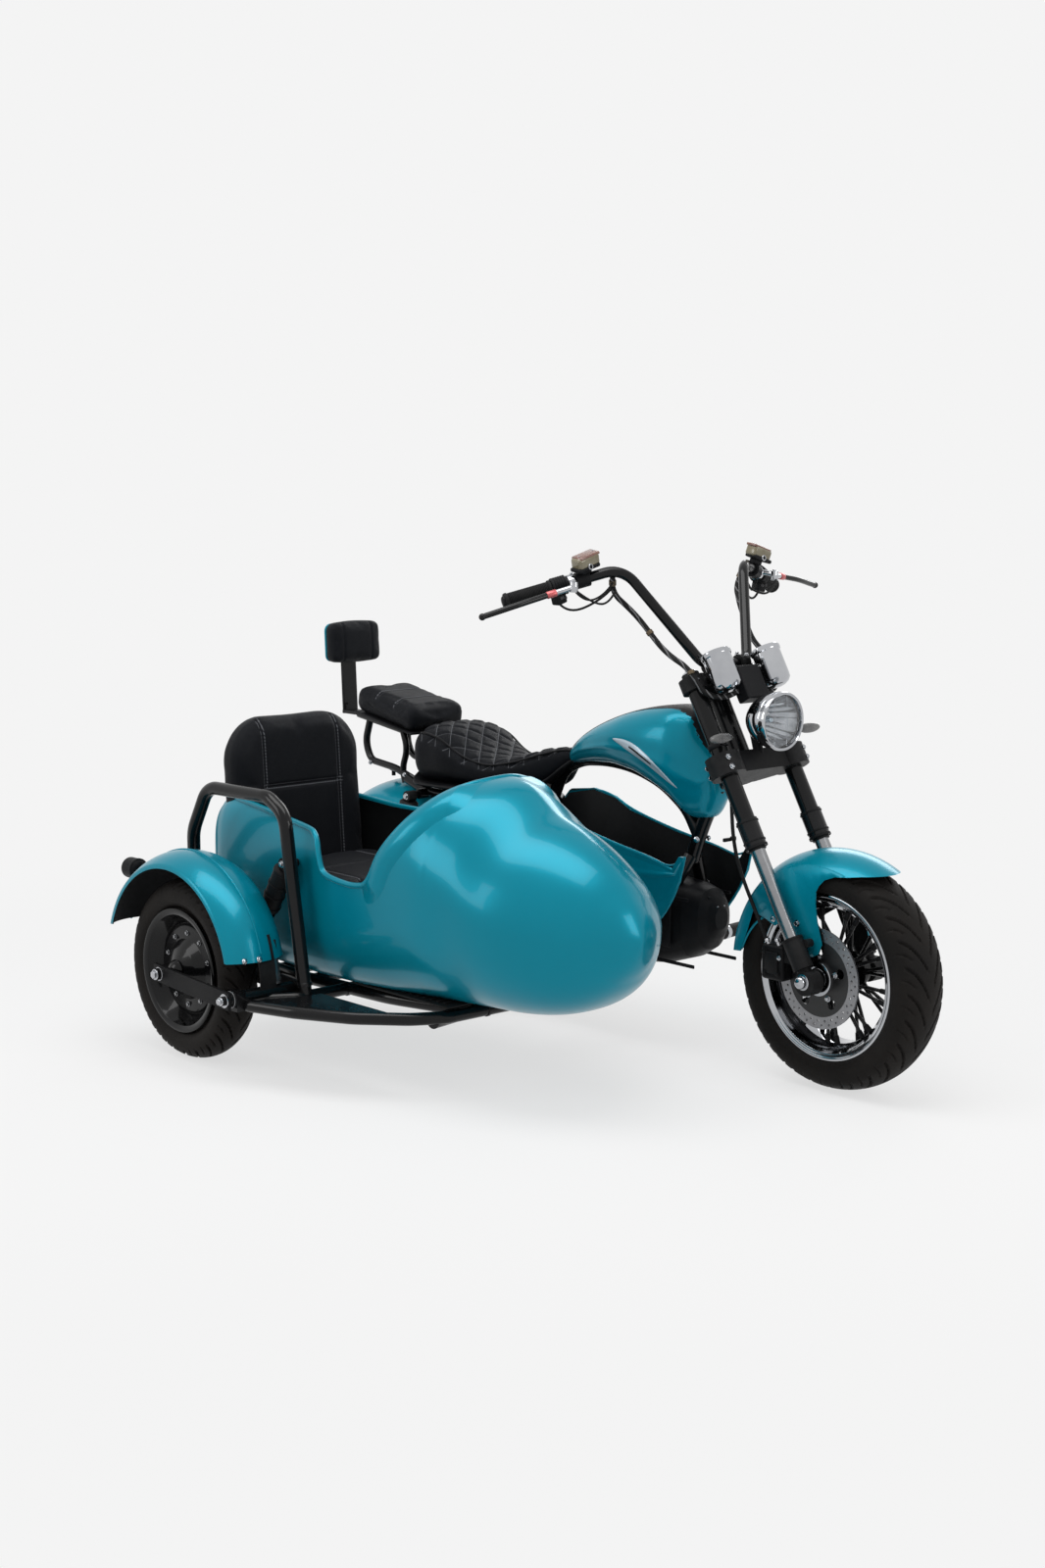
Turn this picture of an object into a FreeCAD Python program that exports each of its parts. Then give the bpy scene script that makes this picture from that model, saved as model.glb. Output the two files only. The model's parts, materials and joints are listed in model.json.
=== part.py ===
import FreeCAD, Part
import math
import os
from functools import lru_cache

# Sidecar motorcycle, millimetres. X runs forward, Y to the rider's left, Z up.
# The sizes below are measured from the front wheel: x = 0 at its axle, y = 0 on the
# motorcycle's middle plane, z = 0 on the ground. The finished pieces are then moved
# so that the origin lies on the ground under the middle of the whole vehicle.

V = FreeCAD.Vector
X_AXIS = V(1, 0, 0)
Y_AXIS = V(0, 1, 0)
Z_AXIS = V(0, 0, 1)

# Wheels
front_tyre_radius = 243.0
front_tyre_width = 128.0
front_flange_radius = 175.0
wheelbase = 1390.0
rear_tyre_radius = 238.0
rear_tyre_width = 215.0
rear_flange_radius = 163.0
side_tyre_radius = 199.0
side_tyre_width = 90.0
side_flange_radius = 136.0
side_axle_back = 1111.0
side_track = 866.0
flange_thickness = 5.0
flange_depth = 11.0
rim_wall = 5.0

# Front hub, spokes and disc
axle_radius = 8.0
hub_radius = 30.0
hub_flange_radius = 46.0
hub_flange_thickness = 7.0
spoke_radius = 3.9
spoke_pairs = 18
spoke_pair_angle = 5.4
disc_plane = 66.0
disc_radius = 106.0
disc_inner_radius = 80.0
disc_thickness = 4.0
disc_hole_radius = 2.6
disc_holes_per_row = 30

# Fork, measured along the legs from the axle
rake = math.radians(29.8)
fork_offset = 45.0
leg_half_spacing = 100.0
lug_radius = 22.0
lug_top = 93.0
stanchion_radius = 15.5
sleeve_radius = 23.0
sleeve_bottom = 299.0
sleeve_top = 362.0
leg_tube_radius = 19.5
leg_tube_top = 702.0
leg_bore_depth = 40.0
lower_clamp_bottom = 463.0
lower_clamp_height = 47.0
upper_clamp_bottom = 662.0
upper_clamp_height = 30.0
clamp_lobe_radius = 38.0
stem_radius = 14.0
stem_boss_radius = 28.0
head_tube_radius = 27.0
head_tube_gap = 5.0

# Handlebar, right half, mirrored for the left
bar_radius = 11.5
bar_centre = V(-338, 0, 869)
bar_foot = V(-339, 66, 869)
bar_bend = V(-468, 187, 1078)
bar_end = V(-585, 411, 1011)
bar_foot_bend_radius = 46.0
bar_top_bend_radius = 62.0
grip_radius = 16.5
grip_length = 98.0
lever_tip = {-1: V(-546, -515, 985), 1: V(-542, 515, 1008)}
lever_knee = {-1: V(-508, -362, 1026), 1: V(-508, 362, 1036)}

# Headlamp and gauges
lamp_centre = V(-170, 0, 759)
lamp_radius = 63.0
lamp_depth = 96.0
lamp_wall = 2.5
pod_centre = V(-275, 77, 860)
pod_radius = 31.0
pod_length = 88.0
signal_half_length = 27.0
signal_radius = 12.0
signal_tip_radius = 4.0

# Front fender
fender_clearance = 17.0
fender_wall = 3.0
fender_inner_half_width = 72.5
fender_shoulder = 30.0

# Hose and cable bundles
hose_radius = 4.0
cable_radius = 6.0
hose_points = [
    V(-122, -90, 300), V(-141, -90, 334), V(-168, -87, 374), V(-198, -82, 416), V(-226, -77, 462),
    V(-244, -72, 514), V(-256, -64, 566), V(-267, -56, 634),
]

# Motorcycle frame
frame_tube_radius = 16.5
arch_tube_radius = 15.0
subframe_tube_radius = 12.5
rack_tube_radius = 9.0
cradle_half_width = 84.0
arm_half_width = 134.0
arm_tube_radius = 14.0
arm_pivot = V(-1032, 0, 238)
arch_points = [
    V(-414, 0, 486), V(-448, 0, 540), V(-520, 0, 588), V(-610, 0, 616), V(-700, 0, 624),
    V(-790, 0, 616), V(-856, 0, 584), V(-896, 0, 500),
]
spine_points = [V(-345, 0, 756), V(-470, 0, 742), V(-560, 0, 722), V(-660, 0, 690), V(-760, 0, 650), V(-850, 0, 590)]

# Seats
seat_half_width = 132.0
pillion_length = 240.0
pillion_width = 176.0
pillion_thickness = 68.0
backrest_width = 160.0
backrest_height = 107.0
backrest_thickness = 45.0

# Sidecar
hull_middle = -505.0
hull_wall = 8.0
hull_floor = 178.0
cushion_bottom = 300.0
cushion_top = 402.0
seat_back_thickness = 80.0
seat_back_width = 372.0
seat_back_height = 400.0
seat_back_shoulder = 105.0
platform_height = 170.0
platform_tube_radius = 13.5
hoop_radius = 15.0
side_fender_radius = 262.0
side_fender_half_width = 70.0
side_arm_pivot = V(-864, 0, 183)

# x, half width, bottom, top, then how square the lower, upper right and upper left corners are
hull_stations = [
    (-1308, 150, 262, 500, 4.0, 4.0, 4.0), (-1300, 176, 226, 530, 4.5, 4.5, 4.5), (-1272, 192, 200, 556, 5.0, 5.0, 5.0),
    (-1200, 202, 186, 570, 5.0, 5.0, 5.0), (-1080, 214, 180, 574, 4.6, 4.6, 4.6), (-940, 226, 178, 580, 4.4, 4.4, 4.4),
    (-800, 235, 178, 600, 4.0, 4.0, 4.0), (-680, 240, 178, 628, 3.4, 3.2, 3.0), (-580, 241, 179, 650, 2.9, 2.7, 2.4),
    (-500, 240, 181, 659, 2.7, 2.3, 1.8), (-435, 231, 181, 656, 2.5, 2.0, 1.42), (-390, 227, 182, 638, 2.4, 1.9, 1.38),
    (-350, 223, 183, 602, 2.35, 1.85, 1.42), (-290, 211, 189, 583, 2.3, 1.85, 1.45), (-230, 188, 202, 556, 2.3, 1.85, 1.45),
    (-175, 152, 227, 520, 2.3, 1.85, 1.5), (-135, 112, 258, 485, 2.3, 1.85, 1.6), (-95, 54, 308, 430, 2.2, 1.9, 1.7),
    (-80, 16, 348, 388, 2.0, 2.0, 2.0),
]

near_rim = [
    (-1400, 552), (-1217, 547), (-960, 530), (-862, 521), (-838, 506), (-824, 470), (-808, 440), (-780, 431),
    (-709, 426), (-664, 431), (-640, 450), (-614, 500), (-582, 545), (-548, 590), (-512, 634), (-476, 660),
    (-440, 720), (-1400, 720),
]
far_rim = [
    (-1400, 520), (-1264, 515), (-1076, 500), (-760, 498), (-690, 506), (-630, 530), (-582, 560), (-548, 595),
    (-512, 634), (-476, 660), (-440, 720), (-1400, 720),
]

# Middle of the whole vehicle on the ground, in the frame that the sizes use
x_mid = -717.0
y_mid = -229.0

rear_axle = V(-wheelbase, 0, rear_tyre_radius)
front_axle_point = V(0, 0, front_tyre_radius)
side_axle = V(-side_axle_back, -side_track, side_tyre_radius)

leg_up = V(-math.sin(rake), 0, math.cos(rake))
leg_front = V(math.cos(rake), 0, math.sin(rake))


# Shapes used by many pieces

def fork_point(front, side, along):
    return front_axle_point + leg_front * front + Y_AXIS * side + leg_up * along


def rod(start, end, radius):
    return Part.makeCylinder(radius, (end - start).Length, start, end - start)


def pipe(start, end, radius, bore):
    return rod(start, end, radius).cut(rod(start, end, bore))


def ball(centre, radius):
    return Part.makeSphere(radius, centre)


def block(x_range, y_range, z_range):
    corner = V(x_range[0], y_range[0], z_range[0])
    size = (x_range[1] - x_range[0], y_range[1] - y_range[0], z_range[1] - z_range[0])
    return Part.makeBox(size[0], size[1], size[2], corner)


def fuse_all(shapes):
    first = shapes[0]
    if len(shapes) == 1:
        return first
    return first.multiFuse(shapes[1:]).removeSplitter()


def largest(shape):
    return max(shape.Solids, key=lambda solid: solid.Volume)


def mirrored(shape, plane_y=0.0):
    return shape.mirror(V(0, plane_y, 0), Y_AXIS)


def both_sides(shape):
    return Part.makeCompound([shape, mirrored(shape)])


def corner_radius(before, at, after):
    half_turn = (after - at).getAngle(at - before) / 2
    shorter = min((at - before).Length, (after - at).Length)
    return 0.45 * shorter / math.tan(half_turn)


def rounded_path(points, radii=None):
    """Straight runs joined by tangent arcs, as one wire."""
    edges = []
    last = points[0]
    for index in range(1, len(points) - 1):
        at = points[index]
        back = (points[index - 1] - at).normalize()
        on = (points[index + 1] - at).normalize()
        half_turn = (on.getAngle(back * -1)) / 2
        if radii is None:
            radius = corner_radius(points[index - 1], at, points[index + 1])
        else:
            radius = radii[index - 1]
        reach = radius * math.tan(half_turn)
        first = at + back * reach
        second = at + on * reach
        inward = (back + on).normalize()
        middle = at + inward * (radius / math.cos(half_turn) - radius)
        if (first - last).Length > 0.01:
            edges.append(Part.LineSegment(last, first).toShape())
        edges.append(Part.Arc(first, middle, second).toShape())
        last = second
    edges.append(Part.LineSegment(last, points[-1]).toShape())
    return Part.Wire(edges)


def tube(points, radius, radii=None):
    path = rounded_path(points, radii)
    start = (points[1] - points[0]).normalize()
    ring = Part.Wire([Part.Circle(points[0], start, radius).toShape()])
    return path.makePipeShell([ring], True, True)


def outline_face(points, plane):
    """Closed face through (a, b) points on the plane 'xz' or 'xy'."""
    if plane == "xz":
        corners = [V(a, 0, b) for a, b in points]
    else:
        corners = [V(a, b, 0) for a, b in points]
    return Part.Face(Part.makePolygon(corners + [corners[0]]))


def side_plate(points, y_from, y_to):
    face = outline_face(points, "xz")
    face.translate(V(0, y_from, 0))
    return face.extrude(V(0, y_to - y_from, 0))


def ring_of(profile, centre):
    """Turns (y, radius) points about the Y line through centre."""
    corners = [V(centre.x, centre.y + y, centre.z + r) for y, r in profile]
    face = Part.Face(Part.makePolygon(corners + [corners[0]]))
    return face.revolve(centre, Y_AXIS, 360)


def super_section(x, middle, half_width, low, high, power, top_powers=None, count=24):
    """Closed smooth section across X. The upper corners may have their own powers, right then left."""
    centre_z = (low + high) / 2
    half_height = (high - low) / 2
    top_right, top_left = top_powers or (power, power)
    low_power = power
    points = []
    for step in range(count):
        angle = 2 * math.pi * step / count
        power = low_power
        if 0 < angle <= math.pi / 2:
            power = top_left
        elif math.pi / 2 < angle < math.pi:
            power = top_right
        across = math.copysign(abs(math.cos(angle)) ** (2 / power), math.cos(angle))
        up = math.copysign(abs(math.sin(angle)) ** (2 / power), math.sin(angle))
        points.append(V(x, middle + half_width * across, centre_z + half_height * up))
    curve = Part.BSplineCurve()
    curve.interpolate(points, PeriodicFlag=True)
    return Part.Wire([curve.toShape()])


def pad(x_range, y_range, z_range, round_radius):
    body = block(x_range, y_range, z_range)
    return body.makeFillet(round_radius, body.Edges)


def turned_pad(size, round_radius, centre, pitch):
    """Rounded block of the given (x, y, z) size, pitched about Y by degrees."""
    half = [value / 2 for value in size]
    body = pad((-half[0], half[0]), (-half[1], half[1]), (-half[2], half[2]), round_radius)
    body.rotate(V(0, 0, 0), Y_AXIS, pitch)
    body.translate(centre)
    return body


# Wheels

def tyre(centre, radius, width, flange_radius):
    half = width / 2
    bead = half - flange_depth - flange_thickness
    seat = flange_radius - flange_depth
    shoulder = radius - 0.21 * (radius - flange_radius) - 2
    side = (flange_radius + radius) / 2
    points = {
        "inner_left": V(0, -bead, seat),
        "lip_left": V(0, -bead, flange_radius),
        "side_left": V(0, -half, side),
        "shoulder_left": V(0, -0.86 * half, shoulder),
        "crown": V(0, 0, radius),
        "shoulder_right": V(0, 0.86 * half, shoulder),
        "side_right": V(0, half, side),
        "lip_right": V(0, bead, flange_radius),
        "inner_right": V(0, bead, seat),
    }
    p = {name: point + centre for name, point in points.items()}
    edges = [
        Part.LineSegment(p["inner_left"], p["lip_left"]).toShape(),
        Part.Arc(p["lip_left"], p["side_left"], p["shoulder_left"]).toShape(),
        Part.Arc(p["shoulder_left"], p["crown"], p["shoulder_right"]).toShape(),
        Part.Arc(p["shoulder_right"], p["side_right"], p["lip_right"]).toShape(),
        Part.LineSegment(p["lip_right"], p["inner_right"]).toShape(),
        Part.LineSegment(p["inner_right"], p["inner_left"]).toShape(),
    ]
    return Part.Face(Part.Wire(edges)).revolve(centre, Y_AXIS, 360)


def rim_ring(centre, width, flange_radius):
    half = width / 2 - flange_depth
    bead = half - flange_thickness
    seat = flange_radius - flange_depth
    well = seat - 16
    profile = [
        (-half, flange_radius), (-bead, flange_radius), (-bead, seat),
        (bead, seat), (bead, flange_radius), (half, flange_radius),
        (half, flange_radius - rim_wall), (bead - 4, seat - rim_wall),
        (bead - 18, well - rim_wall), (-bead + 18, well - rim_wall),
        (-bead + 4, seat - rim_wall), (-half, flange_radius - rim_wall),
    ]
    return ring_of(profile, centre)


def rim_inner_radius(flange_radius):
    return flange_radius - flange_depth - 16 - rim_wall


def front_tyre():
    return tyre(front_axle_point, front_tyre_radius, front_tyre_width, front_flange_radius)


@lru_cache(maxsize=None)
def front_rim():
    return rim_ring(front_axle_point, front_tyre_width, front_flange_radius)


@lru_cache(maxsize=None)
def front_hub():
    centre = front_axle_point
    half = disc_plane - disc_thickness / 2
    body = rod(centre - Y_AXIS * half, centre + Y_AXIS * half, hub_radius)
    pieces = [body]
    for side in (-1, 1):
        outer = centre + Y_AXIS * (side * 34)
        inner = centre + Y_AXIS * (side * (34 - hub_flange_thickness))
        pieces.append(rod(inner, outer, hub_flange_radius))
    rim_reach = rim_inner_radius(front_flange_radius) + 1.5
    for index in range(spoke_pairs):
        side = -1 if index % 2 else 1
        middle = 360.0 * index / spoke_pairs
        for lean in (-1, 1):
            inner_angle = math.radians(middle + lean * 2)
            outer_angle = math.radians(middle + lean * spoke_pair_angle)
            foot = V(math.sin(inner_angle) * 40, side * 31, math.cos(inner_angle) * 40)
            tip = V(math.sin(outer_angle) * rim_reach, side * 20, math.cos(outer_angle) * rim_reach)
            pieces.append(rod(centre + foot, centre + tip, spoke_radius))
    shape = fuse_all(pieces)
    bore = rod(centre - Y_AXIS * 80, centre + Y_AXIS * 80, axle_radius + 0.3)
    return shape.cut(bore).cut(front_rim())


@lru_cache(maxsize=None)
def brake_disc():
    centre = front_axle_point - Y_AXIS * disc_plane
    near = centre - Y_AXIS * (disc_thickness / 2)
    far = centre + Y_AXIS * (disc_thickness / 2)
    plate = rod(near, far, disc_radius).cut(rod(near, far, axle_radius + 4))
    cuts = []
    for row in range(2):
        row_radius = disc_inner_radius + 9 + row * 9
        for index in range(disc_holes_per_row):
            angle = 2 * math.pi * (index + row / 2) / disc_holes_per_row
            place = V(math.sin(angle) * row_radius, 0, math.cos(angle) * row_radius)
            cuts.append(rod(near + place, far + place, disc_hole_radius))
    for index in range(5):
        angle = 2 * math.pi * index / 5
        place = V(math.sin(angle) * 60, 0, math.cos(angle) * 60)
        cuts.append(rod(near + place, far + place, 11))
    return plate.cut(Part.makeCompound(cuts))


def rear_tyre():
    return tyre(rear_axle, rear_tyre_radius, rear_tyre_width, rear_flange_radius)


def rear_rim():
    ring = rim_ring(rear_axle, rear_tyre_width, rear_flange_radius)
    reach = rim_inner_radius(rear_flange_radius) + 2
    drum = rod(rear_axle - Y_AXIS * 62, rear_axle + Y_AXIS * 62, reach)
    cover = rod(rear_axle - Y_AXIS * 84, rear_axle + Y_AXIS * 84, 112)
    boss = rod(rear_axle - Y_AXIS * 104, rear_axle + Y_AXIS * 104, 34)
    bore = rod(rear_axle - Y_AXIS * 120, rear_axle + Y_AXIS * 120, axle_radius + 0.3)
    return fuse_all([ring, drum, cover, boss]).cut(bore)


def side_tyre():
    return tyre(side_axle, side_tyre_radius, side_tyre_width, side_flange_radius)


def side_rim():
    ring = rim_ring(side_axle, side_tyre_width, side_flange_radius)
    reach = rim_inner_radius(side_flange_radius) + 2
    profile = [
        (8, 0), (8, reach), (-4, reach), (-8, 99), (-16, 96), (-16, 66),
        (-34, 50), (-44, 30), (-48, 16), (-60, 12), (-60, 0),
    ]
    disc = ring_of(profile, side_axle)
    boss = rod(side_axle, side_axle + Y_AXIS * 62, 20)
    bore = rod(side_axle - Y_AXIS * 90, side_axle + Y_AXIS * 90, axle_radius + 0.3)
    return fuse_all([ring, disc, boss]).cut(bore)


# Fork and what turns with it

def leg(radius, bottom, top):
    right = rod(fork_point(0, -leg_half_spacing, bottom), fork_point(0, -leg_half_spacing, top), radius)
    return both_sides(right)


@lru_cache(maxsize=None)
def fork_lugs():
    side = -leg_half_spacing
    barrel = rod(fork_point(0, side, 26), fork_point(0, side, lug_top), lug_radius)
    foot = rod(fork_point(0, side - 16, -4), fork_point(0, side + 16, -4), 26)
    web = rod(fork_point(0, side, 0), fork_point(0, side, 40), 15.5)
    plate_y = -(fender_inner_half_width + fender_wall)
    boss_low = rod(V(-17, side + 6, 318), V(-17, plate_y, 318), 9)
    boss_high = rod(V(-42, side + 6, 316), V(-42, plate_y, 316), 9)
    shape = fuse_all([barrel, foot, web, boss_low, boss_high])
    bore_end = fork_point(0, side, lug_top - leg_bore_depth)
    shape = shape.cut(rod(bore_end, fork_point(0, side, lug_top + 1), stanchion_radius))
    shape = shape.cut(rod(front_axle_point - Y_AXIS * 140, front_axle_point, axle_radius))
    return both_sides(shape)


def fork_stanchions():
    return leg(stanchion_radius, lug_top - leg_bore_depth, sleeve_bottom + leg_bore_depth)


def fork_tubes():
    side = -leg_half_spacing
    sleeve = rod(fork_point(0, side, sleeve_bottom), fork_point(0, side, sleeve_top), sleeve_radius)
    upper = rod(fork_point(0, side, sleeve_top), fork_point(0, side, leg_tube_top), leg_tube_radius)
    shape = sleeve.fuse(upper).removeSplitter()
    bore_end = fork_point(0, side, sleeve_bottom + leg_bore_depth)
    shape = shape.cut(rod(fork_point(0, side, sleeve_bottom - 1), bore_end, stanchion_radius))
    return both_sides(shape)


def clamp_plate(bottom, height, lobe):
    """Bridge that holds both legs and the stem, thick along the legs."""
    top = bottom + height
    pieces = []
    for side in (-leg_half_spacing, leg_half_spacing):
        pieces.append(rod(fork_point(0, side, bottom), fork_point(0, side, top), lobe))
    pieces.append(rod(fork_point(-fork_offset, 0, bottom), fork_point(-fork_offset, 0, top), stem_boss_radius))
    corners = [
        (22, -leg_half_spacing), (22, leg_half_spacing), (-24, leg_half_spacing),
        (-58, 34), (-58, -34), (-24, -leg_half_spacing),
    ]
    face_points = [fork_point(front, side, bottom) for front, side in corners]
    face = Part.Face(Part.makePolygon(face_points + [face_points[0]]))
    pieces.append(face.extrude(leg_up * height))
    return fuse_all(pieces)


@lru_cache(maxsize=None)
def fork_clamps():
    lower = clamp_plate(lower_clamp_bottom, lower_clamp_height, clamp_lobe_radius)
    upper = clamp_plate(upper_clamp_bottom, upper_clamp_height, clamp_lobe_radius - 8)
    stem_start = fork_point(-fork_offset, 0, lower_clamp_bottom)
    stem_end = fork_point(-fork_offset, 0, upper_clamp_bottom + upper_clamp_height)
    stem = rod(stem_start, stem_end, stem_radius)
    pieces = [lower, upper, stem]
    for side in (-1, 1):
        ear_start = fork_point(10, side * 48, upper_clamp_bottom + upper_clamp_height - 4)
        ear_end = V(bar_centre.x, side * 48, bar_centre.z)
        pieces.append(rod(ear_start, ear_end, 15))
        pieces.append(rod(ear_end - Y_AXIS * 12, ear_end + Y_AXIS * 12, bar_radius + 7))
        arm_start = fork_point(15, side * pod_centre.y, upper_clamp_bottom + 15)
        pod_front = (pod_centre - front_axle_point).dot(leg_front)
        pod_along = (pod_centre - front_axle_point).dot(leg_up)
        arm_end = fork_point(pod_front - pod_radius + 1, side * pod_centre.y, pod_along)
        pieces.append(rod(arm_start, arm_end, 7))
    lamp_back = lamp_centre - X_AXIS * (lamp_depth - 8)
    pieces.append(rod(fork_point(10, 0, lower_clamp_bottom + 30), lamp_back - Z_AXIS * 10, 11))
    shape = fuse_all(pieces)
    legs = leg(leg_tube_radius, lower_clamp_bottom - 10, leg_tube_top)
    return shape.cut(legs).cut(handlebar()).cut(gauge_pods())


@lru_cache(maxsize=None)
def handlebar():
    half = [bar_centre, bar_foot, bar_bend, bar_end]
    right = [V(p.x, -p.y, p.z) for p in reversed(half)]
    points = right[:-1] + half[1:]
    radii = [bar_top_bend_radius, bar_foot_bend_radius, bar_foot_bend_radius, bar_top_bend_radius]
    return tube(points, bar_radius, radii)


def bar_direction():
    return (bar_end - bar_bend).normalize()


def on_bar(distance, side):
    """Point on the grip stretch, a distance inward from its end."""
    point = bar_end - bar_direction() * distance
    return V(point.x, side * point.y, point.z)


def bar_along(side):
    d = bar_direction()
    return V(d.x, side * d.y, d.z)


def grips():
    pieces = []
    for side in (-1, 1):
        sleeve = rod(on_bar(grip_length, side), on_bar(-6, side), grip_radius)
        core = rod(on_bar(grip_length + 5, side), on_bar(0, side), bar_radius)
        pieces.append(sleeve.cut(core))
    return Part.makeCompound(pieces)


def switch_housings():
    pieces = []
    for side in (-1, 1):
        sleeve = rod(on_bar(grip_length + 34, side), on_bar(grip_length + 1, side), 21)
        thumb = rod(on_bar(grip_length + 18, side), on_bar(grip_length + 18, side) - Z_AXIS * 34, 9)
        core = rod(on_bar(grip_length + 50, side), on_bar(0, side), bar_radius)
        pieces.append(sleeve.fuse(thumb).removeSplitter().cut(core))
    return Part.makeCompound(pieces)


@lru_cache(maxsize=None)
def brake_levers():
    pieces = []
    for side in (-1, 1):
        perch = rod(on_bar(grip_length + 52, side), on_bar(grip_length + 37, side), 17)
        pivot = V(-486, side * 312, 1041)
        stalk = rod(on_bar(grip_length + 45, side), pivot, 7)
        knee = lever_knee[side]
        tip = lever_tip[side]
        arm = [rod(pivot, knee, 7.5), ball(pivot, 8.5), ball(knee, 7.5)]
        lever = [rod(knee, tip, 5.5), ball(tip, 7)]
        core = rod(on_bar(grip_length + 90, side), on_bar(0, side), bar_radius)
        pieces.append(fuse_all([perch, stalk] + arm + lever).cut(core))
    return Part.makeCompound(pieces)


def brake_reservoirs():
    pieces = []
    for side in (-1, 1):
        middle = on_bar(grip_length + 71, side)
        along = bar_along(side)
        base = rod(middle - along * 16, middle + along * 16, bar_radius + 6)
        core = rod(middle - along * 60, middle + along * 60, bar_radius)
        stem = rod(middle + V(4, 0, 8), middle + V(10, 0, 34), 10)
        tank = block((-17, 17), (-30, 30), (-20, 20))
        tank = tank.makeFillet(5, tank.Edges)
        tank.rotate(V(0, 0, 0), X_AXIS, math.degrees(math.atan2(along.z, along.y)))
        tank.rotate(V(0, 0, 0), Y_AXIS, 8)
        tank.translate(middle + V(14, side * 3, 44))
        pieces.append(fuse_all([base, stem, tank]).cut(core))
    return Part.makeCompound(pieces).cut(brake_levers())


def front_axle():
    half = leg_half_spacing + 16
    bar = rod(front_axle_point - Y_AXIS * half, front_axle_point + Y_AXIS * half, axle_radius)
    nuts = []
    for side in (-1, 1):
        start = front_axle_point + Y_AXIS * (side * half)
        nuts.append(rod(start, start + Y_AXIS * (side * 9), 13))
    return fuse_all([bar] + nuts)


def fender_crown(centre, radius, wall, inner_half_width, shoulder, depth_radius):
    """Full ring with a rounded crown and straight sides, open towards the hub."""
    outer_half = inner_half_width + wall

    def section(half, top, low):
        left = V(0, -half, low)
        left_top = V(0, -half, top - shoulder)
        crown = V(0, 0, top)
        right_top = V(0, half, top - shoulder)
        right = V(0, half, low)
        points = [centre + p for p in (left, left_top, crown, right_top, right)]
        edges = [
            Part.LineSegment(points[0], points[1]).toShape(),
            Part.Arc(points[1], points[2], points[3]).toShape(),
            Part.LineSegment(points[3], points[4]).toShape(),
            Part.LineSegment(points[4], points[0]).toShape(),
        ]
        return Part.Face(Part.Wire(edges)).revolve(centre, Y_AXIS, 360)

    outer = section(outer_half, radius, depth_radius)
    inner = section(inner_half_width, radius - wall, depth_radius - 1)
    return outer.cut(inner)


def front_fender():
    radius = front_tyre_radius + fender_clearance + 6
    crown = fender_crown(front_axle_point, radius, fender_wall, fender_inner_half_width, fender_shoulder, 40)
    outline = [
        (-300, 262), (-215, 268), (-193, 322), (-180, 360), (-143, 349), (-118, 338),
        (-77, 362), (-66, 340), (-43, 300), (-30, 291), (-12, 288), (4, 296), (13, 316),
        (6, 338), (-1, 362), (-7, 400), (-6, 424), (3, 440), (18, 454), (45, 464),
        (100, 470), (150, 472), (170, 560), (0, 600), (-300, 600),
    ]
    window = side_plate(outline, -120, 120)
    return crown.common(window)


@lru_cache(maxsize=None)
def headlamp():
    centre = lamp_centre
    outer = [
        (0, lamp_radius), (-16, lamp_radius), (-24, lamp_radius - 5), (-60, 47),
        (-84, 28), (-lamp_depth, 10), (-lamp_depth, 0),
    ]
    inner = [
        (0, lamp_radius - lamp_wall), (-20, lamp_radius - lamp_wall - 5), (-57, 44),
        (-80, 26), (-lamp_depth + lamp_wall, 8), (-lamp_depth + lamp_wall, 0),
    ]
    points = outer + list(reversed(inner))
    corners = [V(centre.x + a, centre.y, centre.z + r) for a, r in points]
    bowl = Part.Face(Part.makePolygon(corners + [corners[0]])).revolve(centre, X_AXIS, 360)
    bracket_end = centre - X_AXIS * (lamp_depth - 8) - Z_AXIS * 10
    return bowl.cut(rod(fork_point(10, 0, lower_clamp_bottom + 30), bracket_end, 11))


def headlamp_lens():
    start = lamp_centre - X_AXIS * 8
    reach = lamp_radius - lamp_wall - 1
    disc = rod(start, start + X_AXIS * 5, reach)
    dome_radius = 210.0
    dome = ball(start + X_AXIS * (13 - dome_radius), dome_radius)
    barrel = rod(start + X_AXIS * 5, start + X_AXIS * 20, reach)
    return disc.fuse(dome.common(barrel)).removeSplitter().cut(headlamp())


@lru_cache(maxsize=None)
def gauge_pods():
    pieces = []
    for side in (-1, 1):
        centre = V(pod_centre.x, side * pod_centre.y, pod_centre.z)
        low = centre - leg_up * (pod_length / 2 - 14)
        high = centre + leg_up * (pod_length / 2)
        cup = rod(low, high, pod_radius)
        dome = ball(low, pod_radius)
        squash = dome.common(rod(low - leg_up * 18, low, pod_radius))
        bezel = rod(high - leg_up * 6, high + leg_up * 3, pod_radius + 2.5)
        dish = rod(high - leg_up * 2, high + leg_up * 4, pod_radius - 2)
        pieces.append(fuse_all([cup, squash, bezel]).cut(dish))
    return Part.makeCompound(pieces)


def gauge_glasses():
    pieces = []
    for side in (-1, 1):
        centre = V(pod_centre.x, side * pod_centre.y, pod_centre.z)
        high = centre + leg_up * (pod_length / 2)
        pieces.append(rod(high - leg_up * 2, high + leg_up * 2, pod_radius - 2))
    return Part.makeCompound(pieces)


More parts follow.
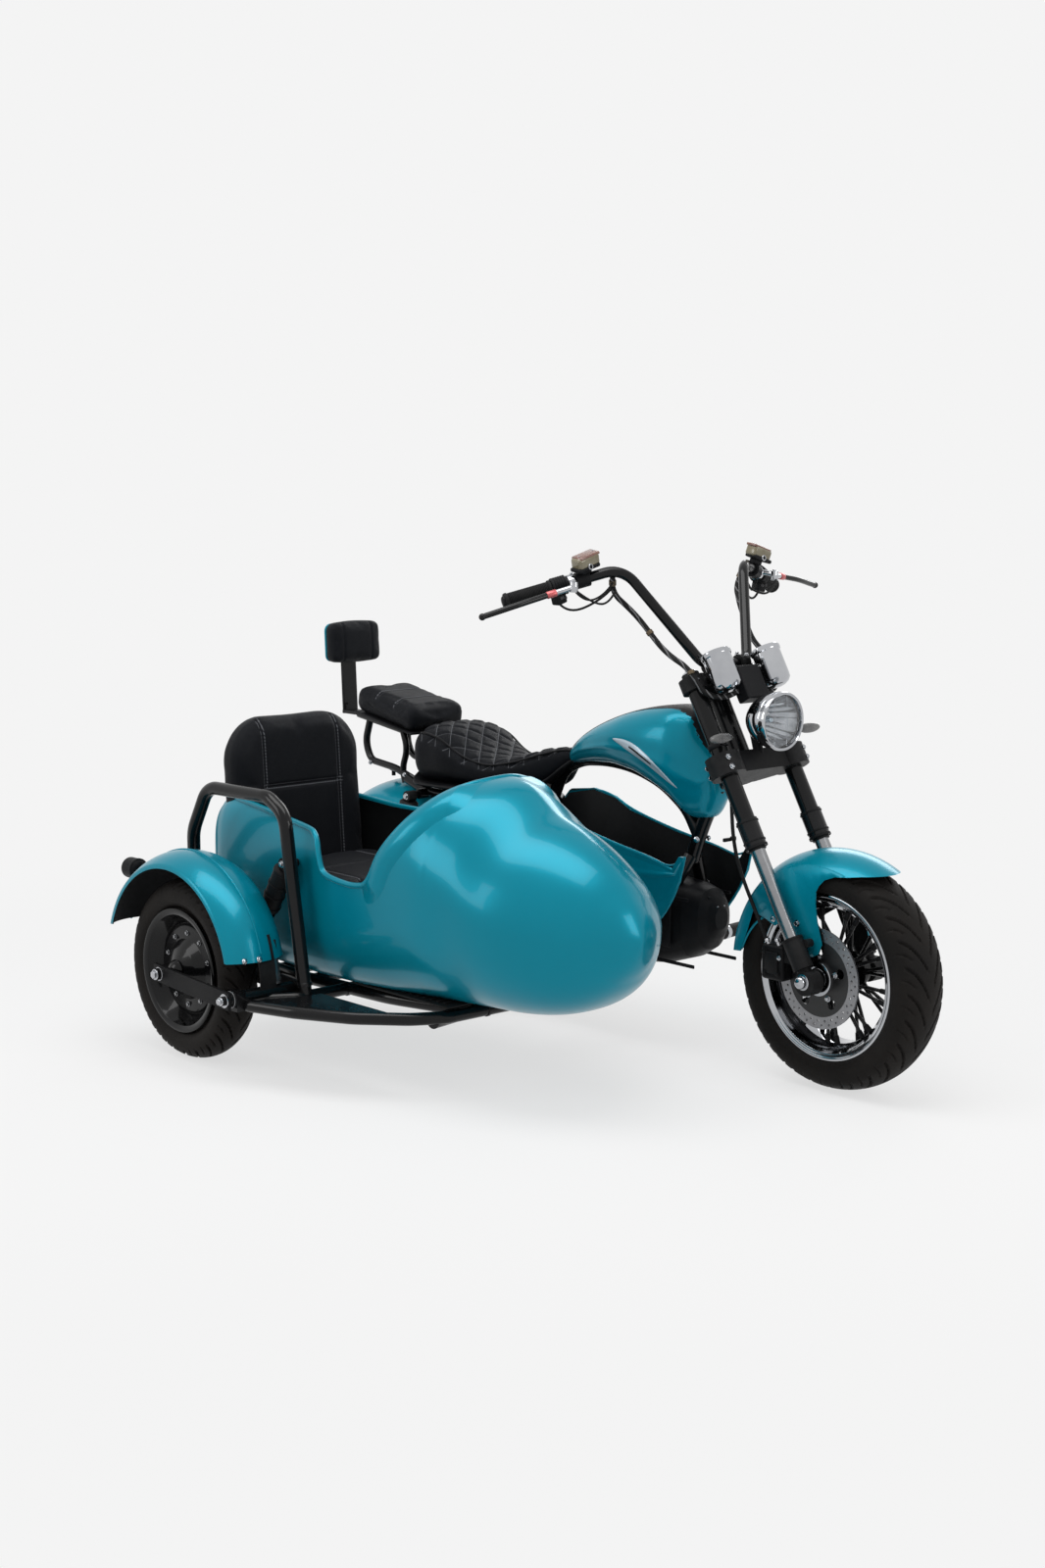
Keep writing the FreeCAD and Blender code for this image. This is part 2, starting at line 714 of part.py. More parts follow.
def turn_signals():
    pieces = []
    for side in (-1, 1):
        middle = V(-222, side * 138, 730)
        reach = Y_AXIS * signal_half_length
        tip = Z_AXIS * signal_tip_radius
        edges = [
            Part.LineSegment(middle - reach, middle - reach + tip).toShape(),
            Part.Arc(middle - reach + tip, middle + Z_AXIS * signal_radius, middle + reach + tip).toShape(),
            Part.LineSegment(middle + reach + tip, middle + reach).toShape(),
            Part.LineSegment(middle + reach, middle - reach).toShape(),
        ]
        body = Part.Face(Part.Wire(edges)).revolve(middle, Y_AXIS, 360)
        start = fork_point(leg_tube_radius - 2, side * (leg_half_spacing + 4), 533)
        pieces.append(body.fuse(rod(start, middle, 6)).removeSplitter())
    return Part.makeCompound(pieces).cut(leg(leg_tube_radius, 400, leg_tube_top))


@lru_cache(maxsize=None)
def control_box():
    low = fork_point(40, -34, 607)
    box = Part.makeBox(34, 68, 77)
    box = box.makeFillet(4, box.Edges)
    box.rotate(V(0, 0, 0), Y_AXIS, -math.degrees(rake))
    box.translate(low)
    stay = rod(fork_point(15, 0, upper_clamp_bottom + 15), fork_point(41, 0, upper_clamp_bottom + 15), 9)
    return box.fuse(stay).removeSplitter().cut(fork_clamps())


@lru_cache(maxsize=None)
def brake_caliper():
    middle = V(-104, -disc_plane - 8, 262)
    body = block((-32, 30), (-24, 18), (-36, 40))
    body = body.makeFillet(8, body.Edges)
    body.translate(middle)
    slot_centre = front_axle_point - Y_AXIS * disc_plane
    slot = rod(slot_centre - Y_AXIS * 5, slot_centre + Y_AXIS * 5, disc_radius + 4)
    arm = block((-80, -20), (-disc_plane - 27, -disc_plane - 17), (268, 300))
    return body.fuse(arm).removeSplitter().cut(slot).cut(fork_lugs()).cut(fork_stanchions())


def brake_hose():
    return tube(hose_points, hose_radius).cut(brake_caliper()).cut(fork_clamps())


def bar_cables():
    points = [
        V(-479, 206, 1066), V(-493, 192, 1023), V(-450, 162, 976), V(-386, 140, 900), fork_point(38, 138, 700),
        fork_point(31, 116, 642), fork_point(33, 62, 628), fork_point(50, 30, 634),
    ]
    left = tube(points, cable_radius)
    return both_sides(left).cut(handlebar()).cut(control_box()).cut(gauge_pods())


# Motorcycle

def steering_bottom():
    return lower_clamp_bottom + lower_clamp_height + head_tube_gap


def steering_top():
    return upper_clamp_bottom - head_tube_gap


@lru_cache(maxsize=None)
def bike_frame():
    head_low = fork_point(-fork_offset, 0, steering_bottom())
    head_high = fork_point(-fork_offset, 0, steering_top())
    pieces = [rod(head_low, head_high, head_tube_radius)]
    down = [fork_point(-52, 0, 556), V(-361, 0, 592), V(-409, 0, 494), V(-434, 0, 428)]
    pieces.append(tube(down, frame_tube_radius))
    pieces.append(tube(spine_points, arch_tube_radius - 1))
    pieces.append(tube(arch_points, arch_tube_radius))
    for side in (-1, 1):
        half = side * cradle_half_width
        cradle = [
            V(-430, side * 8, 438), V(-448, side * 45, 368), V(-482, half, 274), V(-530, half, 190),
            V(-610, half, 168), V(-930, half, 168), V(-1010, half, 196), V(-1040, half, 270),
            V(-1040, half, 430),
        ]
        pieces.append(tube(cradle, subframe_tube_radius + 2))
        rail = [
            V(-884, side * 8, 506), V(-930, side * 62, 506), V(-1040, half, 500), V(-1250, half, 494),
            V(-1330, half, 520),
        ]
        pieces.append(tube(rail, subframe_tube_radius))
        pieces.append(rod(V(-1040, half, 400), V(-1040, half, 499), subframe_tube_radius + 1))
    for x in (-640, -900):
        pieces.append(rod(V(x, -cradle_half_width, 169), V(x, cradle_half_width, 169), subframe_tube_radius))
    pivot_half = arm_half_width - 13
    pieces.append(rod(arm_pivot - Y_AXIS * pivot_half, arm_pivot + Y_AXIS * pivot_half, 16))
    pieces.append(rod(V(-1250, -115, 494), V(-1250, 115, 494), subframe_tube_radius))
    pieces.append(rod(V(-1250, 0, 494), V(-1261.2, 0, 473.5), 11))
    shape = fuse_all(pieces)
    bore_low = fork_point(-fork_offset, 0, steering_bottom() - 60)
    bore_high = fork_point(-fork_offset, 0, steering_top() + 60)
    return shape.cut(rod(bore_low, bore_high, stem_radius + head_tube_gap))


@lru_cache(maxsize=None)
def tank_body():
    stations = [
        (-822, 12, 606, 634, 2.2), (-790, 34, 608, 660, 2.3), (-740, 56, 616, 690, 2.3),
        (-660, 78, 620, 726, 2.3), (-580, 92, 612, 752, 2.4), (-510, 96, 590, 766, 2.4),
        (-450, 90, 560, 772, 2.5), (-405, 74, 526, 764, 2.5), (-372, 54, 530, 724, 2.3),
        (-346, 36, 572, 684, 2.2),
    ]
    sections = [super_section(x, 0, half, low, high, power) for x, half, low, high, power in stations]
    return Part.makeLoft(sections, True, True)


@lru_cache(maxsize=None)
def tank():
    shape = tank_body()
    low = fork_point(-fork_offset, 0, steering_bottom() - 60)
    high = fork_point(-fork_offset, 0, steering_top() + 60)
    return shape.cut(bike_frame()).cut(rod(low, high, 46))


@lru_cache(maxsize=None)
def battery_box():
    stations = [
        (-342, 20, 284, 332, 2.2), (-352, 36, 262, 354, 2.4), (-370, 47, 236, 372, 2.6), (-411, 58, 212, 380, 3.0),
        (-480, 65, 190, 383, 3.6), (-560, 67, 181, 384, 4.5), (-940, 67, 181, 384, 4.5),
    ]
    sections = [super_section(x, 0, half, low, high, power) for x, half, low, high, power in stations]
    body = Part.makeLoft(sections, True, True)
    return body.cut(bike_frame())


@lru_cache(maxsize=None)
def side_fairings():
    outline = [
        (-353, 456), (-366, 400), (-392, 352), (-428, 304), (-520, 250), (-700, 222), (-930, 222), (-980, 290),
        (-980, 480), (-940, 520), (-860, 530), (-790, 518), (-743, 495), (-675, 478), (-585, 461), (-455, 442),
        (-388, 424), (-366, 456),
    ]
    plate = side_plate(outline, -112, -104)
    stay_front = rod(V(-560, -56, 300), V(-560, -104, 300), 7)
    stay_rear = rod(V(-900, -56, 300), V(-900, -104, 300), 7)
    right = fuse_all([plate, stay_front, stay_rear])
    sides = []
    for shape in (right, mirrored(right)):
        sides.append(largest(shape.cut(battery_box()).cut(bike_frame())))
    return Part.makeCompound(sides)


@lru_cache(maxsize=None)
def rider_seat():
    stations = [
        (-1292, 70, 545, 640, 2.6), (-1278, 108, 528, 660, 2.8), (-1240, seat_half_width, 518, 671, 3.0),
        (-1180, seat_half_width, 519, 660, 3.0), (-1100, 122, 521, 616, 3.0), (-1027, 108, 523, 600, 3.0),
        (-950, 84, 530, 616, 2.8), (-880, 52, 552, 641, 2.6), (-830, 30, 592, 650, 2.4), (-804, 14, 614, 644, 2.2),
    ]
    sections = [super_section(x, 0, half, low, high, power) for x, half, low, high, power in stations]
    return Part.makeLoft(sections, True, True).cut(bike_frame()).cut(tank())


@lru_cache(maxsize=None)
def pillion_pad():
    return turned_pad((pillion_length, pillion_width, pillion_thickness), 18, V(-1424, 0, 684), 9.5)


@lru_cache(maxsize=None)
def backrest_pad():
    return turned_pad((backrest_thickness, backrest_width, backrest_height), 16, V(-1653, 0, 833), -3)


@lru_cache(maxsize=None)
def pillion_rack():
    pieces = []
    for side in (-1, 1):
        half = side * 66
        rear_loop = [
            V(-1498, half, 655), V(-1520, half, 590), V(-1496, half, 548), V(-1400, half, 538), V(-1318, half, 514),
        ]
        pieces.append(tube(rear_loop, rack_tube_radius, [60, 34, 200]))
        front_loop = [V(-1372, half, 640), V(-1352, half, 590), V(-1372, half, 540), V(-1362, half, 505)]
        pieces.append(tube(front_loop, rack_tube_radius - 1, [60, 60]))
        pieces.append(rod(V(-1368, half, 635.5), V(-1544, half, 660.5), rack_tube_radius + 0.5))
    pieces.append(rod(V(-1540, -66, 660), V(-1540, 66, 660), rack_tube_radius - 1.5))
    pieces.append(rod(V(-1372, -66, 636), V(-1372, 66, 636), rack_tube_radius - 1.5))
    post = turned_pad((8, 45, 190), 2, V(-1672, 0, 742), -3)
    foot = block((-1672, -1536), (-22, 22), (648, 656))
    shape = pieces[0].multiFuse(pieces[1:] + [post, foot])
    return shape.cut(pillion_pad()).cut(backrest_pad()).cut(bike_frame())


@lru_cache(maxsize=None)
def rear_fender():
    radius = rear_tyre_radius + 32
    crown = fender_crown(rear_axle, radius, fender_wall, 118, 34, 200)
    outline = [
        (-1390, 238), (-1100, 430), (-1130, 470), (-1180, 640), (-1700, 640), (-1800, 238),
        (-1650, 238),
    ]
    window = side_plate(outline, -200, 200)
    shape = crown.common(window)
    return shape.cut(bike_frame()).cut(pillion_rack()).cut(rear_shocks())


@lru_cache(maxsize=None)
def rear_swing_arm():
    pieces = []
    for side in (-1, 1):
        half = side * arm_half_width
        front_end = arm_pivot + Y_AXIS * half
        rear_end = rear_axle + Y_AXIS * half
        pieces.append(rod(front_end, rear_end, arm_tube_radius))
        pieces.append(rod(front_end - Y_AXIS * 13, front_end + Y_AXIS * 13, 22))
        pieces.append(rod(rear_end - Y_AXIS * 12, rear_end + Y_AXIS * 12, 24))
    axle_half = arm_half_width + 22
    pieces.append(rod(rear_axle - Y_AXIS * axle_half, rear_axle + Y_AXIS * axle_half, axle_radius))
    for side in (-1, 1):
        start = rear_axle + Y_AXIS * (side * (arm_half_width + 12))
        pieces.append(rod(start, start + Y_AXIS * (side * 9), 14))
    return fuse_all(pieces).cut(bike_frame())


def shock(low, high, thick, thin):
    along = (high - low).normalize()
    length = (high - low).Length
    body = rod(low + along * (0.42 * length), high - along * 16, thick)
    shaft = rod(low, high, thin)
    eyes = [rod(end - Y_AXIS * 12, end + Y_AXIS * 12, thin + 6) for end in (low, high)]
    return fuse_all([body, shaft] + eyes)


@lru_cache(maxsize=None)
def rear_shocks():
    pieces = []
    for side in (-1, 1):
        half = side * (arm_half_width + 2)
        low = V(-1318, half, 268)
        high = V(-1256, half, 490)
        coil = shock(low, high, 22, 7)
        lug = rod(V(-1318, half, 250), low, 9)
        pin = rod(V(-1256, side * 112, 492), high, 8)
        pieces.append(fuse_all([coil, lug, pin]))
    return Part.makeCompound(pieces).cut(rear_swing_arm()).cut(bike_frame())


def side_shock():
    low = V(-1020, -762, 262)
    high = V(-906, -762, 446)
    body = shock(low, high, 22, 8)
    pin = rod(high - Y_AXIS * 4, V(high.x, -722, high.z), 8)
    body = body.fuse(pin).removeSplitter().cut(side_swing_arm()).cut(grab_hoop())
    return largest(body.cut(sidecar_hull()))


def rear_lamps():
    y = -side_track + 50
    side_lamp = rod(V(-1412, y, 372), V(-1446, y, 372), 24)
    side_lamp = side_lamp.makeFillet(5, side_lamp.Edges[:1])
    side_lamp = side_lamp.fuse(rod(V(-1296, y, 372), V(-1416, y, 372), 8)).removeSplitter()
    side_lamp = largest(side_lamp.cut(side_fender()))
    bike_lamp = block((-1676, -1610), (-42, 42), (340, 384))
    bike_lamp = bike_lamp.makeFillet(8, bike_lamp.Edges)
    bike_lamp = largest(bike_lamp.cut(rear_fender()))
    return Part.makeCompound([side_lamp, bike_lamp])


def footpegs():
    pieces = []
    for side in (-1, 1):
        root = V(-486, side * 56, 232)
        knee = V(-486, side * 150, 232)
        tip = V(-500, side * 262, 232)
        peg = fuse_all([rod(root, knee, 10), ball(knee, 13), rod(knee, tip, 15)])
        pieces.append(peg)
    return Part.makeCompound(pieces).cut(battery_box()).cut(side_fairings()).cut(bike_frame())


# Sidecar

def hull_loft(inset):
    sections = []
    for x, half, low, high, power, top_right, top_left in hull_stations:
        if half - inset < 14:
            continue
        sections.append(
            super_section(x, hull_middle, half - inset, low + inset, high - inset, power, (top_right, top_left))
        )
    return Part.makeLoft(sections, True, True)


@lru_cache(maxsize=None)
def sidecar_hull():
    outer = hull_loft(0)
    inner = hull_loft(hull_wall)
    front_room = block((-1302 + hull_wall, -150), (hull_middle - 300, hull_middle + 300), (0, 900))
    shell = outer.cut(inner.common(front_room))
    near_cut = side_plate(near_rim, hull_middle - 300, hull_middle)
    far_cut = side_plate(far_rim, hull_middle, hull_middle + 300)
    shell = shell.cut(near_cut.fuse(far_cut))
    shelf = block((-1200, -800), (hull_middle - 190, hull_middle + 190), (hull_floor + 2, cushion_bottom))
    shelf = shelf.common(hull_loft(hull_wall - 1))
    return shell.fuse(shelf).removeSplitter()


@lru_cache(maxsize=None)
def sidecar_cushion():
    return pad((-1186, -808), (hull_middle - 186, hull_middle + 186), (cushion_bottom, cushion_top), 26)


def sidecar_seat_back():
    half = [seat_back_thickness / 2, seat_back_width / 2, seat_back_height / 2]
    body = block((-half[0], half[0]), (-half[1], half[1]), (-half[2], half[2]))
    top_edges = [edge for edge in body.Edges if edge.BoundBox.ZMin > half[2] - 1]
    shoulders = [edge for edge in top_edges if edge.BoundBox.XLength > half[0]]
    body = body.makeFillet(seat_back_shoulder, shoulders)
    rims = [edge for edge in body.Edges if edge.BoundBox.XLength < 1]
    body = body.makeFillet(26, rims)
    body.rotate(V(0, 0, 0), Y_AXIS, -4)
    body.translate(V(-1228, hull_middle, 530))
    return body.cut(sidecar_cushion()).cut(sidecar_hull())


@lru_cache(maxsize=None)
def sidecar_frame():
    z = platform_height
    outer = [
        V(-826, -650, z), V(-826, -790, z), V(-882, -897, z), V(-846, -914, z), V(-730, -878, z), V(-608, -816, z),
        V(-521, -735, z), V(-484, -668, z), V(-484, -420, z), V(-498, -342, z),
    ]
    pieces = [tube(outer, platform_tube_radius, [60, 19, 30, 120, 120, 90, 60, 60])]
    inner = [V(-1240, -640, z), V(-1000, -668, z), V(-700, -650, z), V(-520, -604, z), V(-486, -570, z)]
    pieces.append(tube(inner, platform_tube_radius, [300, 300, 20]))
    cross = platform_tube_radius - 1.5
    pieces.append(rod(V(-952, -700, z), V(-952, -338, z), cross))
    pieces.append(rod(V(-1230, -690, z), V(-1230, -338, z), cross))
    pieces.append(rod(V(-1245, -345, z), V(-494, -345, z), platform_tube_radius - 0.5))
    low = 162
    pieces.append(rod(V(-502, -690, low), V(-620, -cradle_half_width, low), 16))
    rear_link = [V(-1100, -740, low), V(-1100, -345, low), V(-930, -cradle_half_width, low)]
    pieces.append(tube(rear_link, 16, [60]))
    pivot = side_arm_pivot
    pieces.append(rod(V(pivot.x, -950, pivot.z), V(pivot.x, -782, pivot.z), 16))
    pieces.append(block((-886, -842), (-941, -918), (159, 200)))
    shape = pieces[0].multiFuse(pieces[1:])
    return shape.cut(bike_frame()).cut(sidecar_hull())


@lru_cache(maxsize=None)
def platform_plate():
    outline = [
        (-808, -750), (-808, -796), (-842, -828), (-842, -908), (-732, -870), (-616, -808), (-538, -750),
    ]
    face = outline_face(outline, "xy")
    face.translate(V(0, 0, platform_height + 2))
    plate = face.extrude(V(0, 0, 5))
    return plate.cut(sidecar_frame()).cut(sidecar_hull())


@lru_cache(maxsize=None)
def grab_hoop():
    y = -775
    points = [
        V(-827, y, platform_height + 4), V(-863, y, 380), V(-892, y, 556), V(-952, y, 588),
        V(-1180, y, 584), V(-1240, y, 480), V(-1330, y + 60, 300), V(-1330, y + 110, 190),
        V(-1240, y + 110, platform_height),
    ]
    radii = [200, 60, 60, 60, 150, 60, 30]
    shape = tube(points, hoop_radius, radii)
    return shape.cut(sidecar_frame()).cut(sidecar_hull()).cut(platform_plate())


@lru_cache(maxsize=None)
def side_fender():
    crown = fender_crown(
        side_axle, side_fender_radius, fender_wall, side_fender_half_width, 26, side_fender_radius - 34
    )
    low = side_axle.z + 56
    outline = [
        (-1500, low + 18), (-side_axle_back, low + 18), (-side_axle_back, low), (-800, low), (-800, 600), (-1500, 600),
    ]
    window = side_plate(outline, -1000, -700)
    return crown.common(window)


def side_fender_stays():
    seat = side_fender_radius - fender_wall
    start = side_axle - Y_AXIS * -34
    band = pipe(start - Y_AXIS * 40, start, seat, seat - 4)
    front_stay = band.common(block((-900, -846), (-1000, -700), (186, 306)))
    rear_stay = rod(V(-1295, -side_track + side_fender_half_width - 4, 366), V(-1297, -742, 368), 6)
    front_stay = front_stay.cut(sidecar_frame()).cut(platform_plate()).cut(side_fender())
    rear_stay = rear_stay.cut(side_fender()).cut(grab_hoop())
    return Part.makeCompound([front_stay, rear_stay])


@lru_cache(maxsize=None)
def side_swing_arm():
    pieces = []
    for y in (-954, -778):
        near = y - 4
        far = y + 4
        direction = (V(side_axle.x, 0, side_axle.z) - side_arm_pivot).normalize()
        up = V(-direction.z, 0, direction.x) * 19
        if up.z < 0:
            up = up * -1
        start = V(side_arm_pivot.x, near, side_arm_pivot.z) - direction * 14
        end = V(side_axle.x, near, side_axle.z) + direction * 22
        corners = [start - up, end - up, end + up, start + up]
        face = Part.Face(Part.makePolygon(corners + [corners[0]]))
        pieces.append(face.extrude(V(0, far - near, 0)))
    pieces.append(rod(side_axle - Y_AXIS * 104, side_axle + Y_AXIS * 100, axle_radius))
    for y in (-958 - 9, -774):
        pieces.append(rod(V(side_axle.x, y, side_axle.z), V(side_axle.x, y + 9, side_axle.z), 13))
        pieces.append(rod(V(side_arm_pivot.x, y, side_arm_pivot.z), V(side_arm_pivot.x, y + 9, side_arm_pivot.z), 10))
    pieces.append(rod(V(-1020, -769, 190), V(-1020, -769, 254), 8))
    return fuse_all(pieces).cut(sidecar_frame())


NODES = {
    "bike_frame": bike_frame,
    "tank": tank,
    "battery_box": battery_box,
    "side_fairings": side_fairings,
    "rider_seat": rider_seat,
    "pillion_pad": pillion_pad,
    "backrest_pad": backrest_pad,
    "pillion_rack": pillion_rack,
    "rear_fender": rear_fender,
    "rear_swing_arm": rear_swing_arm,
    "rear_shocks": rear_shocks,
    "rear_lamps": rear_lamps,
    "footpegs": footpegs,
    "sidecar_hull": sidecar_hull,
    "sidecar_cushion": sidecar_cushion,
    "sidecar_seat_back": sidecar_seat_back,
    "sidecar_frame": sidecar_frame,
    "platform_plate": platform_plate,
    "grab_hoop": grab_hoop,
    "sidecar_fender": side_fender,
    "sidecar_fender_stays": side_fender_stays,
    "sidecar_swing_arm": side_swing_arm,
    "sidecar_shock": side_shock,
    "fork_clamps": fork_clamps,
    "fork_tubes": fork_tubes,
    "fork_stanchions": fork_stanchions,
    "fork_lugs": fork_lugs,
    "front_axle": front_axle,
    "front_fender": front_fender,
    "headlamp": headlamp,
    "headlamp_lens": headlamp_lens,
    "gauge_pods": gauge_pods,
    "gauge_glasses": gauge_glasses,
    "turn_signals": turn_signals,
    "control_box": control_box,
    "handlebar": handlebar,
    "grips": grips,
    "switch_housings": switch_housings,
    "brake_levers": brake_levers,
    "brake_reservoirs": brake_reservoirs,
    "brake_caliper": brake_caliper,
    "brake_hose": brake_hose,
    "bar_cables": bar_cables,
    "front_tyre": front_tyre,
    "front_rim": front_rim,
    "front_hub": front_hub,
    "brake_disc": brake_disc,
    "rear_tyre": rear_tyre,
    "rear_rim": rear_rim,
    "sidecar_tyre": side_tyre,
    "sidecar_rim": side_rim,
}


os.makedirs("parts", exist_ok=True)
for name, make in NODES.items():
    shape = make().copy()
    shape.translate(V(-x_mid, -y_mid, 0))
    box = shape.BoundBox
    print(
        f"{name:22s} solids {len(shape.Solids):2d} valid {shape.isValid()} volume {shape.Volume / 1000:9.1f} cm3"
        f" x {box.XMin:7.1f} {box.XMax:7.1f} y {box.YMin:7.1f} {box.YMax:7.1f} z {box.ZMin:7.1f} {box.ZMax:7.1f}"
    )
    shape.exportStep(f"parts/{name}.step")
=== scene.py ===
import bpy
import json
import math
from mathutils import Matrix, Vector


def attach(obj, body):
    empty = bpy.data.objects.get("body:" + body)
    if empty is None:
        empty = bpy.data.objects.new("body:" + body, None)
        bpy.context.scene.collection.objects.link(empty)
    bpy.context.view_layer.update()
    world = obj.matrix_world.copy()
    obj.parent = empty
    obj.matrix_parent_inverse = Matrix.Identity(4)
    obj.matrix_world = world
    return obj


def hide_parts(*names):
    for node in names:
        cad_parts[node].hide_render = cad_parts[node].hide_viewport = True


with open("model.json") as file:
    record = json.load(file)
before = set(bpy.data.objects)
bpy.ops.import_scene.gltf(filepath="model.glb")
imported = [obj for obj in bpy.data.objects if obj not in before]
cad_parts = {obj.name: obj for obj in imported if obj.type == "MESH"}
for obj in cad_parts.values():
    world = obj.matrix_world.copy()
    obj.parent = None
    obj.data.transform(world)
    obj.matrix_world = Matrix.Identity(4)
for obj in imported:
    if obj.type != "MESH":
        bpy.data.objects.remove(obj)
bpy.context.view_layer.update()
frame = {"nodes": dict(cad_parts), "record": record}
nodes = frame["nodes"]

# Places below are in millimetres from the point on the ground under the front axle, with x forward,
# y to the rider's left and z up. The frame's own origin lies under the middle of the vehicle.

MIDDLE_X = -717.0
MIDDLE_Y = -229.0
QUILT_PITCH = 52.0
SIDES = (-1, 1)


def at(x, y, z):
    return Vector((x - MIDDLE_X, y - MIDDLE_Y, z)) / 1000


def mm(length):
    return length / 1000


def vec(x, y, z):
    return Vector((x, y, z))


# Shader nodes

FLOAT = "NodeSocketFloat"
COLOUR = "NodeSocketColor"
VECTOR = "NodeSocketVector"
GREY = (0.5, 0.5, 0.5, 1)


def fill_inputs(tree, node, inputs):
    """Gives each named input a socket to follow or a plain value."""
    for place, value in inputs.items():
        if isinstance(value, bpy.types.NodeSocket):
            tree.links.new(value, node.inputs[place])
        else:
            node.inputs[place].default_value = value


def added(tree, kind, inputs, **settings):
    """A new shader node's outputs."""
    node = tree.nodes.new("ShaderNode" + kind)
    for name, value in settings.items():
        setattr(node, name, value)
    fill_inputs(tree, node, inputs)
    return node.outputs


def math_node(tree, operation, first, second=None, clamp=False):
    inputs = {0: first} if second is None else {0: first, 1: second}
    return added(tree, "Math", inputs, operation=operation, use_clamp=clamp)[0]


def mixed(tree, factor, first, second):
    return added(tree, "Mix", {"Factor": factor, 6: first, 7: second}, data_type="RGBA")[2]


def ranged(tree, value, low, high, least=0.0, kind="LINEAR"):
    inputs = {"Value": value, "From Min": low, "From Max": high, "To Min": least}
    return added(tree, "MapRange", inputs, interpolation_type=kind)["Result"]


def noise(tree, vector, scale, detail=3.0, roughness=0.5):
    inputs = {"Vector": vector, "Scale": scale, "Detail": detail, "Roughness": roughness}
    return added(tree, "TexNoise", inputs)["Fac"]


# Camera, stage and light

CAMERA_PLACE = at(3194.2, -3736.0, 1363.1)
CAMERA_AIM = at(-609.6, -346.8, 611.4)
CAMERA_LENS = 54.67
BACKGROUND = (0.905, 0.905, 0.905, 1)
FLOOR_TONE = (0.80, 0.80, 0.80, 1)
WORLD_FILL = 0.55
# Distances from the middle, in metres, between which the floor takes the background's tone, and its least share
FLOOR_FADE = (0.9, 2.6, 0.72)

# Place, aim, size and watts of each light, in the frame's metres
SOFTBOXES = {
    "top_light": ((0.2, -0.6, 3.4), (0, -0.1, 0.4), (3.2, 1.6), 70),
    "side_light": ((-1.6, -3.6, 2.2), (0, 0, 0.5), (1.6, 1.8), 32),
    "front_light": ((4.2, 1.0, 1.9), (0, 0, 0.5), (1.4, 2.0), 36),
    "back_light": ((-1.4, 3.6, 2.4), (0, 0, 0.6), (2.4, 1.4), 40),
}


def look(thing, place, aim):
    thing.rotation_euler = (Vector(aim) - Vector(place)).to_track_quat("-Z", "Y").to_euler()


def camera():
    bpy.ops.object.camera_add(location=CAMERA_PLACE)
    view = bpy.context.object
    view.name = "photo_camera"
    look(view, CAMERA_PLACE, CAMERA_AIM)
    view.data.sensor_width = 36.0
    view.data.lens = CAMERA_LENS
    view.data.clip_end = 100.0
    bpy.context.scene.camera = view


def camera_sees(tree):
    """1 for rays that come from the camera, a mirror or glass."""
    path = added(tree, "LightPath", {})
    direct = math_node(tree, "MAXIMUM", path["Is Camera Ray"], path["Is Glossy Ray"])
    return math_node(tree, "MAXIMUM", direct, path["Is Transmission Ray"])


def studio_world():
    world = bpy.data.worlds.new("studio")
    bpy.context.scene.world = world
    world.use_nodes = True
    tree = world.node_tree
    tree.nodes.clear()
    seen = added(tree, "Background", {"Color": BACKGROUND})[0]
    light = added(tree, "Background", {"Color": (1, 1, 1, 1), "Strength": WORLD_FILL})[0]
    both = added(tree, "MixShader", {"Fac": camera_sees(tree), 1: light, 2: seen})[0]
    added(tree, "OutputWorld", {"Surface": both})


def studio_floor():
    """A plane that fades from matte, with soft shadows, to the background's tone."""
    bpy.ops.mesh.primitive_plane_add(size=60, location=(0, 0, 0))
    floor = bpy.context.object
    floor.name = "studio_floor"
    paint = bpy.data.materials.new("studio_floor")
    paint.use_nodes = True
    tree = paint.node_tree
    tree.nodes.clear()
    place = added(tree, "TexCoord", {})["Object"]
    reach = added(tree, "VectorMath", {0: place}, operation="LENGTH")["Value"]
    fade = ranged(tree, reach, *FLOOR_FADE, "SMOOTHSTEP")
    share = math_node(tree, "MULTIPLY", fade, camera_sees(tree))
    matte = added(tree, "BsdfDiffuse", {"Color": FLOOR_TONE})[0]
    glow = added(tree, "Emission", {"Color": BACKGROUND})[0]
    both = added(tree, "MixShader", {"Fac": share, 1: matte, 2: glow})[0]
    added(tree, "OutputMaterial", {"Surface": both})
    floor.data.materials.append(paint)


def studio():
    studio_world()
    studio_floor()
    for name, (place, aim, size, watts) in SOFTBOXES.items():
        bpy.ops.object.light_add(type="AREA", location=place)
        lamp = bpy.context.object
        lamp.name = name
        look(lamp, place, aim)
        lamp.data.shape = "RECTANGLE"
        lamp.data.size, lamp.data.size_y = size
        lamp.data.energy = watts


# Materials: groups that several of them use

def group(name, defaults, result, kind):
    """A node group, its input sockets by default value, and the socket of its one result."""
    tree = bpy.data.node_groups.new(name, "ShaderNodeTree")
    kinds = {type(None): VECTOR, float: FLOAT, tuple: COLOUR}
    for label, value in defaults.items():
        socket = tree.interface.new_socket(label, in_out="INPUT", socket_type=kinds[type(value)])
        if value is not None:
            socket.default_value = value
    tree.interface.new_socket(result, in_out="OUTPUT", socket_type=kind)
    return tree, tree.nodes.new("NodeGroupInput").outputs, tree.nodes.new("NodeGroupOutput").inputs[0]


